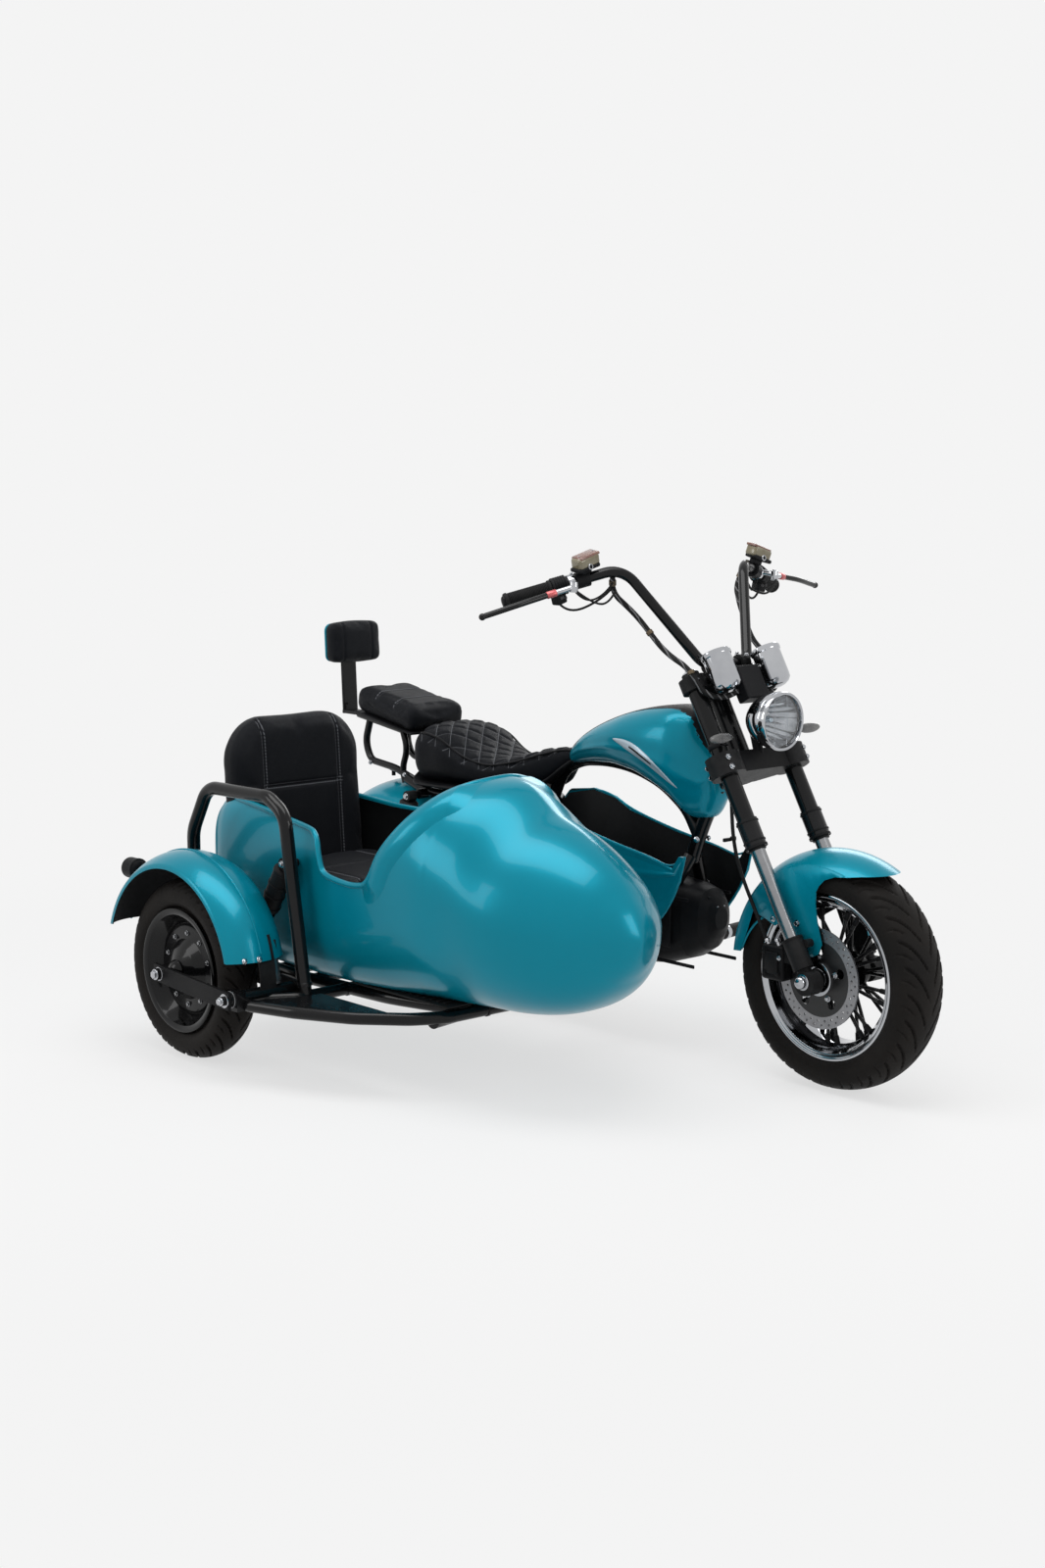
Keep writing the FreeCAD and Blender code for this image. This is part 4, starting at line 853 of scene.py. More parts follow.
def hull_shell():
    xs = spaced(HULL_BACK, -860, 18) + spaced(-860, -600, 40) + spaced(-600, -440, 18)
    xs += spaced(-440, -150, 22) + spaced(-150, HULL_NOSE, 10) + [HULL_NOSE]
    rows = [(-1309, 0.0), (-1309, 0.6), (-1309, 0.93)] + [(x, 1.0) for x in xs] + [(-78, 0.5), (-77, 0.0)]

    def place(u, v):
        x, size = along_rows(rows, u)
        x_section = min(max(x, HULL_BACK), HULL_NOSE)
        start = rim_angle(x_section, -1)
        end = rim_angle(x_section, 1)
        _, y, z = hull_point(x_section, start + (end - start) * v, size)
        return x, y, z

    shell = formed(len(rows) - 1, 112, place)
    thickened(shell, 8, "dark_lining")
    dressed(shell, "sidecar_body", "chassis", "teal_paint", angle=50, stands_for="sidecar_hull")


def hull_lip():
    near_xs = spaced(-1284, -880, 12) + spaced(-880, -600, 36) + spaced(-600, -478, 14)
    near = [rim_point(x, -1) for x in near_xs]
    far = [rim_point(x, 1) for x in spaced(-478, -700, 16) + spaced(-700, -1296, 18)]
    back = [(-1300, -400, 519), (-1296, -560, 530), (-1290, -650, 541)]
    lip = strand(near + far + back, 6.5, cyclic=True, resolution=3, rings=4)
    dressed(lip, "sidecar_body_lip", "chassis", "teal_paint")


def hull_side(x, z, side):
    """The body's outer point at (x, z) on one side, and which way it faces there."""
    half, low, high, square, square_right, square_left = hull_row(x)
    middle = (low + high) / 2
    reach = (high - low) / 2
    power = square if z < middle else (square_right if side < 0 else square_left)
    up = min(abs(z - middle) / reach, 0.9995)
    out = (1 - up ** power) ** (1 / power)
    facing = vec(0, side * out ** (power - 1) / half, math.copysign(up ** (power - 1), z - middle) / reach)
    z = middle + math.copysign(up, z - middle) * reach
    return vec(x, HULL_MIDDLE + side * half * out, z), facing.normalized()


def coaming(side, low_end):
    """The raised band that runs down from the crest beside the opening."""
    rim = NEAR_RIM if side < 0 else FAR_RIM
    lift = [(0.0, 3.5), (0.10, 9.0), (0.40, 11.0), (0.72, 7.0), (0.92, 1.5), (1.0, -1.5)]

    def place(u, v):
        x = -479 + (low_end + 479) * u
        z = between(rim, x)[0]
        ahead = between(rim, x + 1)[0]
        run = vec(1, 0, ahead - z).normalized()
        outward = vec(run.z, 0, -run.x)
        width = 62 - 14 * u
        spot = vec(x, 0, z) + outward * width * v
        top = hull_row(spot.x)[2]
        on_body, facing = hull_side(spot.x, min(spot.z, top - 0.4), side)
        fade = min(1.0, (1 - u) * 7, 0.1 + u * 9)
        height = between(lift, v)[0]
        return on_body + facing * (height * fade - (1 - fade) * 1.5)

    band = formed(70, 20, place)
    thickened(band, 1.5)
    return band


def hull_trim():
    bands = joined([coaming(-1, -668), coaming(1, -640)])
    dressed(bands, "sidecar_coaming", "chassis", "teal_paint", angle=50)
    pan = slab((-1000, HULL_MIDDLE, 252), (396, 372, 96), 12)
    floor = slab((-640, HULL_MIDDLE, 190), (320, 330, 5), 2)
    mat = joined([floor] + [slab((-640 + k * 22, HULL_MIDDLE, 193.5), (8, 300, 3), 1) for k in range(-6, 7)])
    dressed(pan, "sidecar_seat_pan", "chassis", "dark_lining")
    dressed(mat, "sidecar_floor_mat", "chassis", "grip_rubber")


# Tank

STEM_REACH = 47.0
TANK_BAND = 42.0
TANK_BACK = -822
TANK_NOSE = -346
TANK_STATIONS = [
    (-822, 12, 606, 634, 2.2), (-790, 34, 608, 660, 2.3), (-740, 56, 616, 690, 2.3),
    (-660, 78, 620, 726, 2.3), (-580, 92, 612, 752, 2.4), (-510, 96, 590, 766, 2.4),
    (-450, 90, 560, 772, 2.5), (-405, 74, 526, 764, 2.5), (-372, 54, 530, 724, 2.3), (-346, 36, 572, 684, 2.2),
]


def clear_of_stem(spot):
    """Moves a point out of the round room that the steering stem needs."""
    start = on_fork(STEM_BACK, 0, 0)
    away = spot - start
    across = away - LEG_UP * away.dot(LEG_UP)
    if 0 < across.length < STEM_REACH:
        spot = spot + across.normalized() * (STEM_REACH - across.length)
    return spot


def tank_fold(rise, half):
    """How far the crease on the tank's side stands out."""
    return 2.6 * math.exp(-((rise + 0.12) / 0.10) ** 2) * min(half / 40, 1.0)


def tank_shell():
    rows = [(-824, 0.0), (-823, 0.7)] + [(x, 1.0) for x in spaced(TANK_BACK, TANK_NOSE, 60) + [TANK_NOSE]]
    rows += [(-344, 0.75), (-343, 0.4), (-343, 0.0)]

    def place(u, v):
        x, size = along_rows(rows, u)
        half, low, high, power = between(TANK_STATIONS, min(max(x, TANK_BACK), TANK_NOSE))
        angle = 2 * math.pi * v
        y, z = rounded_section(angle, 0, half, low, high, power, power)
        middle = (low + high) / 2
        y += math.copysign(tank_fold(math.sin(angle), half), y)
        return clear_of_stem(vec(x, y * size, middle + (z - middle) * size))

    shell = formed(len(rows) - 1, 128, place)
    shell.data.materials.append(MATERIALS["teal_paint"])
    shell.data.materials.append(MATERIALS["black_plastic"])
    for face in shell.data.polygons:
        near_middle = abs(face.center.y - at(0, 0, 0).y) < mm(TANK_BAND)
        if near_middle and face.normal.z > 0.35:
            face.material_index = 1
    dressed(shell, "tank_shell", "chassis", "teal_paint", angle=60, stands_for="tank")
    edges = []
    for side in SIDES:
        path = []
        for x in spaced(-806, -380, 14) + [-380]:
            half, low, high, power = between(TANK_STATIONS, x)
            across = min(TANK_BAND / half, 0.9)
            height = (low + high) / 2 + (high - low) / 2 * (1 - across ** power) ** (1 / power)
            path.append((x, side * across * half, height))
        edges.append(strand(path, 1.3, resolution=4, rings=2))
    dressed(joined(edges), "tank_band_edges", "chassis", "black_paint")


def tank_side(x, z, side, out):
    half, low, high, power = between(TANK_STATIONS, x)
    middle = (low + high) / 2
    up = min(abs(z - middle) / ((high - low) / 2), 0.98)
    y = half * (1 - up ** power) ** (1 / power)
    y += tank_fold(math.copysign(up ** (power / 2), z - middle), half)
    return vec(x, side * (y + out), z)


def tank_inserts():
    """The pale leaf-shaped insert with a dark slit, on each side."""
    leaves = []
    slits = []
    for side in SIDES:
        def leaf(u, v, long=1.0, tall=1.0, lift=2.6):
            run = (u - 0.5) * long + 0.5
            x = -600 + 192 * run
            spine = 690 - 95 * run + 22 * math.sin(math.pi * run)
            wide = 14 * tall * math.sin(math.pi * min(max(run, 0.0), 1.0)) ** 0.8
            z = spine + (v - 0.5) * 2 * wide
            edge = 1 - abs(2 * v - 1) ** 4
            return tank_side(x, z, side, -1.0 + lift * edge * min(wide / 3, 1.0))
        leaves.append(formed(40, 10, leaf))
        slits.append(formed(20, 6, lambda u, v: leaf(u, v, 0.34, 0.22, 4.4)))
    for sheets, name, finish in (
        (leaves, "tank_inserts", "pale_metal"), (slits, "tank_insert_slits", "black_plastic"),
    ):
        sheet = joined(sheets)
        thickened(sheet, 0.7)
        dressed(sheet, name, "chassis", finish, angle=60)


# Tyres

def arc_points(start, through, end, count):
    """Points on the round arc from start through a second point to the end, without the end."""
    ax, ay = start
    bx, by = through
    cx, cy = end
    d = 2 * (ax * (by - cy) + bx * (cy - ay) + cx * (ay - by))
    a, b, c = [x ** 2 + y ** 2 for x, y in (start, through, end)]
    ux = (a * (by - cy) + b * (cy - ay) + c * (ay - by)) / d
    uy = (a * (cx - bx) + b * (ax - cx) + c * (bx - ax)) / d
    radius = math.dist((ux, uy), start)
    first = math.atan2(ay - uy, ax - ux)
    middle = math.atan2(by - uy, bx - ux)
    last = math.atan2(cy - uy, cx - ux)
    sweep = (last - first) % (2 * math.pi)
    if (middle - first) % (2 * math.pi) > sweep:
        sweep -= 2 * math.pi
    return [
        (ux + radius * math.cos(first + sweep * k / count), uy + radius * math.sin(first + sweep * k / count))
        for k in range(count)
    ]


def tyre_outline(radius, width, flange):
    half = width / 2
    bead = half - 16
    seat = flange - 11
    shoulder = (0.86 * half, radius - 0.21 * (radius - flange) - 2)
    side = (half, (flange + radius) / 2)
    left = arc_points((-bead, flange), (-side[0], side[1]), (-shoulder[0], shoulder[1]), 12)
    crown = arc_points((-shoulder[0], shoulder[1]), (0, radius), shoulder, 34)
    right = arc_points(shoulder, side, (bead, flange), 12)
    return [(-bead, seat)] + left + crown + right + [(bead, flange), (bead, seat), (-bead, seat)]


def ramp(value, low, high):
    t = min(max((value - low) / (high - low), 0.0), 1.0)
    return t * t * (3 - 2 * t)


def line_gap(value, pitch):
    """Distance to the nearest of lines that repeat every pitch."""
    return abs((value + pitch / 2) % pitch - pitch / 2)


def groove_depth(arc, across, pitch, half):
    """How deep the tread is cut at a place: long slanted grooves and short ones on the shoulder."""
    reach = abs(across) / half
    shift = pitch / 2 if across > 0 else 0.0
    slant = 1.5 * half * (1 - (1 - reach) ** 1.6) if reach < 1 else 1.5 * half
    long_cut = 1 - ramp(line_gap(arc + slant - shift, pitch), 2.6, 5.0)
    long_cut *= ramp(reach, 0.08, 0.16) * (1 - ramp(reach, 0.84, 0.92))
    short_cut = 1 - ramp(line_gap(arc + slant - shift - pitch / 2, pitch), 1.4, 3.2)
    short_cut *= ramp(reach, 0.60, 0.66) * (1 - ramp(reach, 0.96, 1.02))
    return max(5.0 * long_cut, 3.5 * short_cut)


def tyre_piece(name, node, body, axle, radius, width, flange, pitches, steps):
    outline = tyre_outline(radius, width, flange)
    pitch = 2 * math.pi * radius / pitches
    half = 0.86 * width / 2 + 8
    turn = 2 * math.pi / pitches

    def place(u, v):
        y, r = along_rows(outline, v)
        worn = r > radius - 0.36 * (radius - flange)
        depth = groove_depth(u * pitch, y, pitch, half) if worn else 0.0
        rib = 0.9 * (1 - ramp(abs(r - flange - 0.30 * (radius - flange)), 0.8, 2.4))
        rib += 0.7 * (1 - ramp(abs(r - flange - 0.10 * (radius - flange)), 0.6, 2.0))
        out = math.copysign(rib, y) if not worn else 0.0
        angle = turn * u
        r -= depth
        return axle.x + math.sin(angle) * r, axle.y + y + out, axle.z + math.cos(angle) * r

    sector = formed(steps, len(outline) - 1, place, merge=False)
    ring = turned_copies(sector, pitches, at(*axle))
    start_edit(ring)
    bpy.ops.mesh.remove_doubles(threshold=0.00003)
    bpy.ops.mesh.normals_make_consistent(inside=False)
    end_edit()
    dressed(ring, name, body, "tread_rubber", angle=32, stands_for=node)


# Wheels

def front_wheel_pieces():
    outer = [
        (-53, 175), (-51, 177.5), (-48, 175.5), (-47, 166), (-38, 164), (-20, 148), (20, 148), (38, 164),
        (47, 166), (48, 175.5), (51, 177.5), (53, 175), (53, 171), (50, 168), (49, 161), (40, 159),
        (28, 150), (22, 143), (-22, 143), (-28, 150), (-40, 159), (-49, 161), (-50, 168), (-53, 171),
    ]
    rim = turned(outer, FRONT_AXLE, steps=120)
    rounded_edges(rim, 1.0, 2, 25)
    dressed(rim, "front_rim_ring", "front_wheel", "chrome", angle=35, stands_for="front_rim")
    ends = []
    for side, start in ((1, 0.0), (-1, 20.0)):
        pair = []
        for lean in (-1, 1):
            inner = math.radians(start + lean * 2)
            outer_angle = math.radians(start + lean * 5.4)
            foot = FRONT_AXLE + vec(math.sin(inner) * 40, side * 31, math.cos(inner) * 40)
            tip = FRONT_AXLE + vec(math.sin(outer_angle) * 144, side * 20, math.cos(outer_angle) * 144)
            way = (tip - foot).normalized()
            pair.append(rod(tip - way * 17, tip, 5.4, 6.2, sides=10, edge=0.8))
            pair.append(rod(foot, foot + way * 9, 6.0, 5.0, sides=10, edge=0.8))
        ends.append(turned_copies(joined(pair), 9, at(*FRONT_AXLE)))
    dressed(joined(ends), "front_spoke_ends", "front_wheel", "black_cast")
    ring = [(-3, 36), (-4, 34), (-4, 24), (-3, 22), (3, 22), (3, 36)]
    ring = turned(ring, FRONT_AXLE - vec(0, 69, 0), steps=40)
    bolts = turned_copies(bolt(FRONT_AXLE + vec(0, -68, 46), (0, -1, 0), 5.2, 6), 5, at(*FRONT_AXLE))
    dressed(joined([ring, bolts]), "front_disc_bolts", "front_wheel", "chrome")
    disc = nodes["brake_disc"].data
    disc.materials.clear()
    disc.materials.append(MATERIALS["disc_steel"])


# Padded seats

def from_frame(spot):
    """The place of a point of the frame in millimetres from under the front axle."""
    return vec(spot.x * 1000 + MIDDLE_X, spot.y * 1000 + MIDDLE_Y, spot.z * 1000)


def rounded_outline(half_a, half_b, radii, steps=7):
    """Corner points of a rounded box outline, anticlockwise from its lower left corner."""
    corners = [(-1, -1, math.pi), (1, -1, 1.5 * math.pi), (1, 1, 0.0), (-1, 1, 0.5 * math.pi)]
    points = []
    for (a, b, start), radius in zip(corners, radii):
        for index in range(steps + 1):
            angle = start + 0.5 * math.pi * index / steps
            across = a * (half_a - radius) + radius * math.cos(angle)
            points.append((across, b * (half_b - radius) + radius * math.sin(angle)))
    return points


def pillow(outline, thickness, place):
    """A closed pad from an outline, thinner towards its edge."""
    rows = [(-1, 0.0), (-1, 0.86), (-0.8, 0.95), (-0.4, 0.99), (0.4, 0.99), (0.8, 0.95), (1, 0.86), (1, 0.0)]
    ring = outline + [outline[0]]

    def spot(u, v):
        index = min(int(v * (len(rows) - 1) + 0.5), len(rows) - 1)
        a, b = along_rows(ring, u)
        height, size = rows[index]
        return place(a * size, b * size, height * thickness / 2)

    return formed(len(ring) - 1, len(rows) - 1, spot)


def swollen(piece, cap, voxel=6.0, pressure=4.0):
    """Fills a pad like a real cushion: even mesh, cloth under pressure, movement capped, smoothed once."""
    modifier = piece.modifiers.new("voxels", "REMESH")
    modifier.mode = "VOXEL"
    modifier.voxel_size = mm(voxel)
    finish_modifiers(piece)
    starts = [vertex.co.copy() for vertex in piece.data.vertices]
    cloth = piece.modifiers.new("cloth", "CLOTH")
    cloth.settings.use_pressure = True
    cloth.settings.uniform_pressure_force = pressure
    cloth.settings.effector_weights.gravity = 0
    cloth.point_cache.frame_start = 1
    cloth.point_cache.frame_end = 20
    for step in range(1, 21):
        bpy.context.scene.frame_set(step)
    shape = piece.evaluated_get(bpy.context.evaluated_depsgraph_get()).data
    ends = [vertex.co.copy() for vertex in shape.vertices]
    piece.modifiers.remove(cloth)
    for vertex, start, end in zip(piece.data.vertices, starts, ends):
        move = end - start
        if move.length > mm(cap):
            move *= mm(cap) / move.length
        vertex.co = start + move
    bpy.context.scene.frame_set(1)
    smoother(piece)


def pressed(piece, depth_at):
    """Sinks the surface by depth_at(place, facing), in millimetres: seams, channels and quilting."""
    facings = [vertex.normal.copy() for vertex in piece.data.vertices]
    depths = [depth_at(from_frame(vertex.co), vertex.normal) for vertex in piece.data.vertices]
    deepest = max(depths)
    sewn = piece.data.attributes.new("sewn", "FLOAT", "POINT")
    for index, (facing, depth) in enumerate(zip(facings, depths)):
        piece.data.vertices[index].co -= facing * mm(depth)
        sewn.data[index].value = depth / deepest


def dip(gap, width):
    return math.exp(-(gap / width) ** 2)


def padded_dressed(piece, name, node, finish):
    dressed(piece, name, "chassis", finish, angle=80, stands_for=node)


SADDLE_BACK = -1292
SADDLE_NOSE = -804
SEAT_STATIONS = [
    (-1292, 70, 545, 640, 2.6), (-1278, 108, 528, 660, 2.8), (-1240, 132, 518, 671, 3.0),
    (-1180, 132, 519, 660, 3.0), (-1100, 122, 521, 616, 3.0), (-1027, 108, 523, 600, 3.0),
    (-950, 84, 530, 616, 2.8), (-880, 52, 552, 641, 2.6), (-830, 30, 592, 650, 2.4), (-804, 14, 614, 644, 2.2),
]


def saddle_form(around, section):
    """The saddle's length in sections; section(half, low, high, power) gives each one and its middle."""
    rows = [(SADDLE_BACK, 0.0), (-1291, 0.7)] + [(x, 1.0) for x in spaced(-1290, -806, 44)]
    rows += [(-805, 0.7), (SADDLE_NOSE, 0.0)]

    def place(u, v):
        x, size = rows[int(u * (len(rows) - 1) + 0.5)]
        row = between(SEAT_STATIONS, min(max(x, SADDLE_BACK), SADDLE_NOSE))
        half, low, high, power, middle = section(*row)
        y, z = rounded_section(2 * math.pi * v, 0, half, low, high, power, power)
        return x, y * size, middle + (z - middle) * size

    return formed(len(rows) - 1, around, place)


def rider_saddle():
    def padding(half, low, high, power):
        return half - 5, low + 3, high - 5, power, (low + high) / 2

    saddle = saddle_form(64, padding)
    swollen(saddle, 5)

    def quilt(spot, facing):
        if facing.z < 0.25:
            return 0.0
        first = line_gap((spot.x + spot.y), QUILT_PITCH) / math.sqrt(2)
        second = line_gap((spot.x - spot.y), QUILT_PITCH) / math.sqrt(2)
        half = between(SEAT_STATIONS, min(max(spot.x, SADDLE_BACK), SADDLE_NOSE))[0]
        inside = ramp(half - abs(spot.y), 8, 15) * ramp(facing.z, 0.25, 0.6) * ramp(-spot.x, 815, 850)
        return 3.4 * inside * max(dip(first, 5.0), dip(second, 5.0))

    pressed(saddle, quilt)
    padded_dressed(saddle, "rider_saddle", "rider_seat", "quilted_leather")
    cords = []
    for side in SIDES:
        path = []
        for x in spaced(-1286, -812, 18) + [-812]:
            half, low, high, power = between(SEAT_STATIONS, x)
            y, z = rounded_section(math.radians(38), 0, half, low, high, power, power)
            path.append((x, side * (y - 5), z - 4.5))
        cords.append(strand(path, 2.6, resolution=4))
    base = saddle_form(24, lambda half, low, high, power: (half - 1, low - 3, low + 9, 4.0, low + 3))
    dressed(joined(cords), "rider_saddle_piping", "chassis", "black_plastic")
    dressed(base, "rider_saddle_pan", "chassis", "black_plastic", angle=60)


def turned_place(centre, pitch):
    """Places points of a pad that is pitched about Y and centred at a point."""
    turn = Matrix.Rotation(math.radians(pitch), 3, "Y")
    middle = Vector(centre)
    return lambda x, y, z: middle + turn @ vec(x, y, z)


PILLION_MIDDLE = vec(-1424, 0, 684)
PILLION_PITCH = 9.5
# Half the width of the middle panel of the passenger's seat, between its long seams
PANEL_HALF = 104


def pillion_cushion():
    put = turned_place(PILLION_MIDDLE, PILLION_PITCH)
    pad = pillow(rounded_outline(118, 86, [20, 18, 18, 20]), 62, lambda a, b, c: put(a, b, c))
    swollen(pad, 4, 5.0)
    back = Matrix.Rotation(math.radians(-PILLION_PITCH), 3, "Y")

    def seams(spot, facing):
        local = back @ (spot - PILLION_MIDDLE)
        if facing.z > 0.2:
            return 3.0 * dip(abs(abs(local.x) - 36), 4.0) * ramp(88 - abs(local.y), 4, 14)
        return 1.6 * dip(abs(local.z - 16), 3.0)

    pressed(pad, seams)
    padded_dressed(pad, "pillion_cushion", "pillion_pad", "pillion_leather")
    plate = slab(put(0, 0, -35), (230, 168, 5), 1.5, (0, PILLION_PITCH, 0))
    dressed(plate, "pillion_plate", "chassis", "black_plastic")


def backrest_cushion():
    put = turned_place((-1653, 0, 833), -3)
    pad = pillow(rounded_outline(78, 51, [16, 16, 20, 20]), 40, lambda a, b, c: put(c, a, b))
    swollen(pad, 4, 5.0)
    pressed(pad, lambda spot, facing: 2.2 * dip(abs(abs(spot.y) - 44), 3.5) * ramp(facing.x, 0.2, 0.5))
    padded_dressed(pad, "backrest_cushion", "backrest_pad", "black_leather")
    shell = pillow(rounded_outline(76, 49, [16, 16, 20, 20]), 9, lambda a, b, c: put(c - 18.5, a, b))
    dressed(shell, "backrest_shell", "chassis", "teal_paint")


def passenger_cushion():
    place = vec(-997, HULL_MIDDLE, 351)
    pad = pillow(rounded_outline(184, 181, [40, 40, 40, 40]), 90, lambda a, b, c: place + vec(a, b, c))
    swollen(pad, 9)

    def seams(spot, facing):
        local = spot - place
        if facing.z > 0.3:
            panel = min(abs(abs(local.y) - PANEL_HALF), abs(local.x + 2) if abs(local.y) < PANEL_HALF else 99)
            return 4.5 * dip(panel, 5.5)
        return 2.0 * dip(abs(local.z - 26), 3.5)

    pressed(pad, seams)
    padded_dressed(pad, "passenger_cushion", "sidecar_cushion", "seat_leather")


def passenger_back():
    put = turned_place((-1228, HULL_MIDDLE, 530), -4)
    outline = rounded_outline(187, 201, [30, 30, 104, 104], 12)
    pad = pillow(outline, 68, lambda a, b, c: put(c, a, b))
    swollen(pad, 8)

    def seams(spot, facing):
        y = spot.y - HULL_MIDDLE
        if facing.x > 0.2:
            panel = abs(abs(y) - PANEL_HALF)
            middle = abs(spot.z - 566) if abs(y) < PANEL_HALF else 99
            return 4.5 * dip(min(panel, middle), 5.5)
        return 2.0 * dip(abs(spot.x + 1214), 3.5) * ramp(spot.z, 380, 420)

    pressed(pad, seams)
    padded_dressed(pad, "passenger_back", "sidecar_seat_back", "seat_leather")


# Fork, bars and lamps

def node_copy(name):
    """A copy of a node's mesh, merged, to be finished in more than one material."""
    mesh = nodes[name].data.copy()
    mesh.transform(nodes[name].matrix_world)
    piece = bpy.data.objects.new(name + "_copy", mesh)
    bpy.context.collection.objects.link(piece)
    start_edit(piece)
    bpy.ops.mesh.remove_doubles(threshold=0.00001)
    end_edit()
    return piece


def two_finishes(name, node, body, first, second, is_second):
    """A node's copy with a second finish on the faces that is_second(centre, facing) picks."""
    piece = node_copy(node)
    piece.data.materials.clear()
    piece.data.materials.append(MATERIALS[first])
    piece.data.materials.append(MATERIALS[second])
    for face in piece.data.polygons:
        if is_second(from_frame(face.center), face.normal):
            face.material_index = 1
    dressed(piece, name, body, first, angle=35, stands_for=node)


def ring_band(centre, way, radius, width, thick=2.0, steps=40):
    half = width / 2
    outline = [(-half, radius - 1), (-half, radius + thick - 0.6), (-half + 0.6, radius + thick),
               (half - 0.6, radius + thick), (half, radius + thick - 0.6), (half, radius - 1)]
    return turned(outline, centre, Vector(way).normalized(), steps)


def fork_trim():
    bright = []
    dark = []
    for side in (-LEG_SIDE, LEG_SIDE):
        for along in (301, 313, 356):
            dark.append(ring_band(on_fork(0, side, along), LEG_UP, 23, 4 if along > 305 else 6, 1.6))
        dark.append(ring_band(on_fork(0, side, 92), LEG_UP, 22, 5, 1.4))
        dark.append(ring_band(on_fork(0, side, 296), LEG_UP, 15.5, 6, 3.5))
        cap = on_fork(0, side, 700)
        bright.append(turned(
            [(-2, 0), (-2, 18), (3, 18.5), (6, 16), (7, 12), (7, 9), (12, 8.5), (13.5, 7), (13.5, 0)],
            cap, LEG_UP, 32,
        ))
        out = math.copysign(1, side)
        for along in (474, 496):
            place = on_fork(-30, side + out * 22, along)
            bright.append(bolt(place, (LEG_UP.cross(vec(0, 1, 0))), 4.5, 5))
            bright.append(bolt(on_fork(33, side + out * 17, along), LEG_FRONT, 5, 5))
        bright.append(bolt(on_fork(26, side + out * 14, 677), LEG_FRONT, 4.5, 4.5))
        nut = FRONT_AXLE + vec(0, math.copysign(116, side), 0)
        dome = turned(
            [(0, 0), (0, 17), (3, 17), (4, 15), (4, 13.2), (12, 13.2), (16, 11), (18.5, 6), (19, 0)],
            nut, vec(0, out, 0), 24,
        )
        bright.append(dome)
    stem = on_fork(STEM_BACK, 0, 692)
    nut = [(-2, 0), (-2, 22), (3, 22), (5, 20), (5, 14), (15, 13), (18, 10), (19, 0)]
    bright.append(turned(nut, stem, LEG_UP, 32))
    for side in (-48, 48):
        for front in (-14, 14):
            place = vec(-338 + front, side, 869 + 17)
            bright.append(bolt(place, (0.1, 0, 1), 4.2, 6))
    dressed(joined(bright), "fork_bolts", "fork", "chrome")
    dressed(joined(dark), "fork_rings", "fork", "black_cast")


def headlamp_pieces():
    centre = vec(-170, 0, 759)
    outer = [
        (0.5, 57), (2, 59.5), (1.5, 62), (-2, 63.5), (-8, 63.3), (-14, 62.8), (-16, 61), (-18, 61.5),
        (-30, 60), (-46, 55), (-62, 47), (-76, 36), (-87, 24), (-94, 12), (-96, 4), (-96, 0), (-92, 0),
        (-90, 10), (-80, 24), (-58, 43), (-34, 53), (-14, 57), (-4, 57),
    ]
    bowl = turned(outer, centre, "X", 72)
    dressed(bowl, "headlamp_bowl", "fork", "chrome", angle=30, stands_for="headlamp")

    def cup(u, v):
        angle = 2 * math.pi * u
        reach = 54 * (0.12 + 0.88 * v)
        flute = 3.2 * abs(math.sin(12 * angle)) * ramp(v, 0.25, 0.5) * (1 - 0.5 * v)
        depth = -62 + 44 * v ** 2.0 + flute
        return centre + vec(depth, reach * math.sin(angle), reach * math.cos(angle))

    reflector = formed(192, 18, cup)
    thickened(reflector, 0.8)
    dressed(reflector, "headlamp_reflector", "fork", "reflector", angle=50)
    bulb = turned([(-64, 0), (-64, 8), (-50, 8), (-48, 5.5), (-34, 5.5), (-30, 4), (-28, 0)], centre, "X", 24)
    dressed(bulb, "headlamp_bulb", "fork", "pale_metal")
    socket = turned([(-66, 14), (-66, 19), (-57, 19), (-55, 16), (-55, 10), (-66, 10)], centre, "X", 40)
    dressed(socket, "headlamp_socket", "fork", "dark_lining")
    bars = [
        strand([centre + vec(-11, y, -52), centre + vec(-10.6, y, 0), centre + vec(-11, y, 52)], 0.7)
        for y in (-18, 18)
    ]
    dressed(joined(bars), "headlamp_lens_bars", "fork", "chrome")
    screws = [bolt(centre + vec(-9, side * 63, 0), (0, side, 0), 4, 4) for side in SIDES]
    dressed(joined(screws), "headlamp_screws", "fork", "black_cast")


def gauge_pieces():
    cups = []
    faces = []
    marks = []
    for side in SIDES:
        centre = vec(-275, side * 77, 860)
        low = [(-44, 0), (-44, 6), (-42, 16), (-37, 25), (-30, 30.5), (-22, 31.2)]
        high = [(34, 31.2), (36, 33), (40, 33.8), (45, 33.4), (47, 31.5), (46, 28.5), (40, 28.2), (40, 0)]
        cups.append(turned(low + high, centre, LEG_UP, 56))
        top = centre + LEG_UP * 40
        faces.append(rod(top, top + LEG_UP * 0.5, 27.8, sides=48))
        right = vec(0, 1, 0)
        forward = LEG_UP.cross(right)
        for index in range(11):
            angle = math.radians(-130 + 26 * index)
            way = right * math.sin(angle) - forward * math.cos(angle)
            marks.append(rod(top + LEG_UP * 0.7 + way * 20, top + LEG_UP * 0.7 + way * 25, 0.6, sides=6))
        needle = right * math.sin(-2.1) - forward * math.cos(-2.1)
        marks.append(rod(top + LEG_UP * 1.1, top + LEG_UP * 1.1 + needle * 19, 0.6, 0.3, sides=6))
        marks.append(rod(top + LEG_UP * 0.3, top + LEG_UP * 1.7, 3.0, sides=16))
    dressed(joined(cups), "gauge_cups", "fork", "chrome", angle=30, stands_for="gauge_pods")
    dressed(joined(faces), "gauge_faces", "fork", "dial_face")
    dressed(joined(marks), "gauge_marks", "fork", "pale_metal")


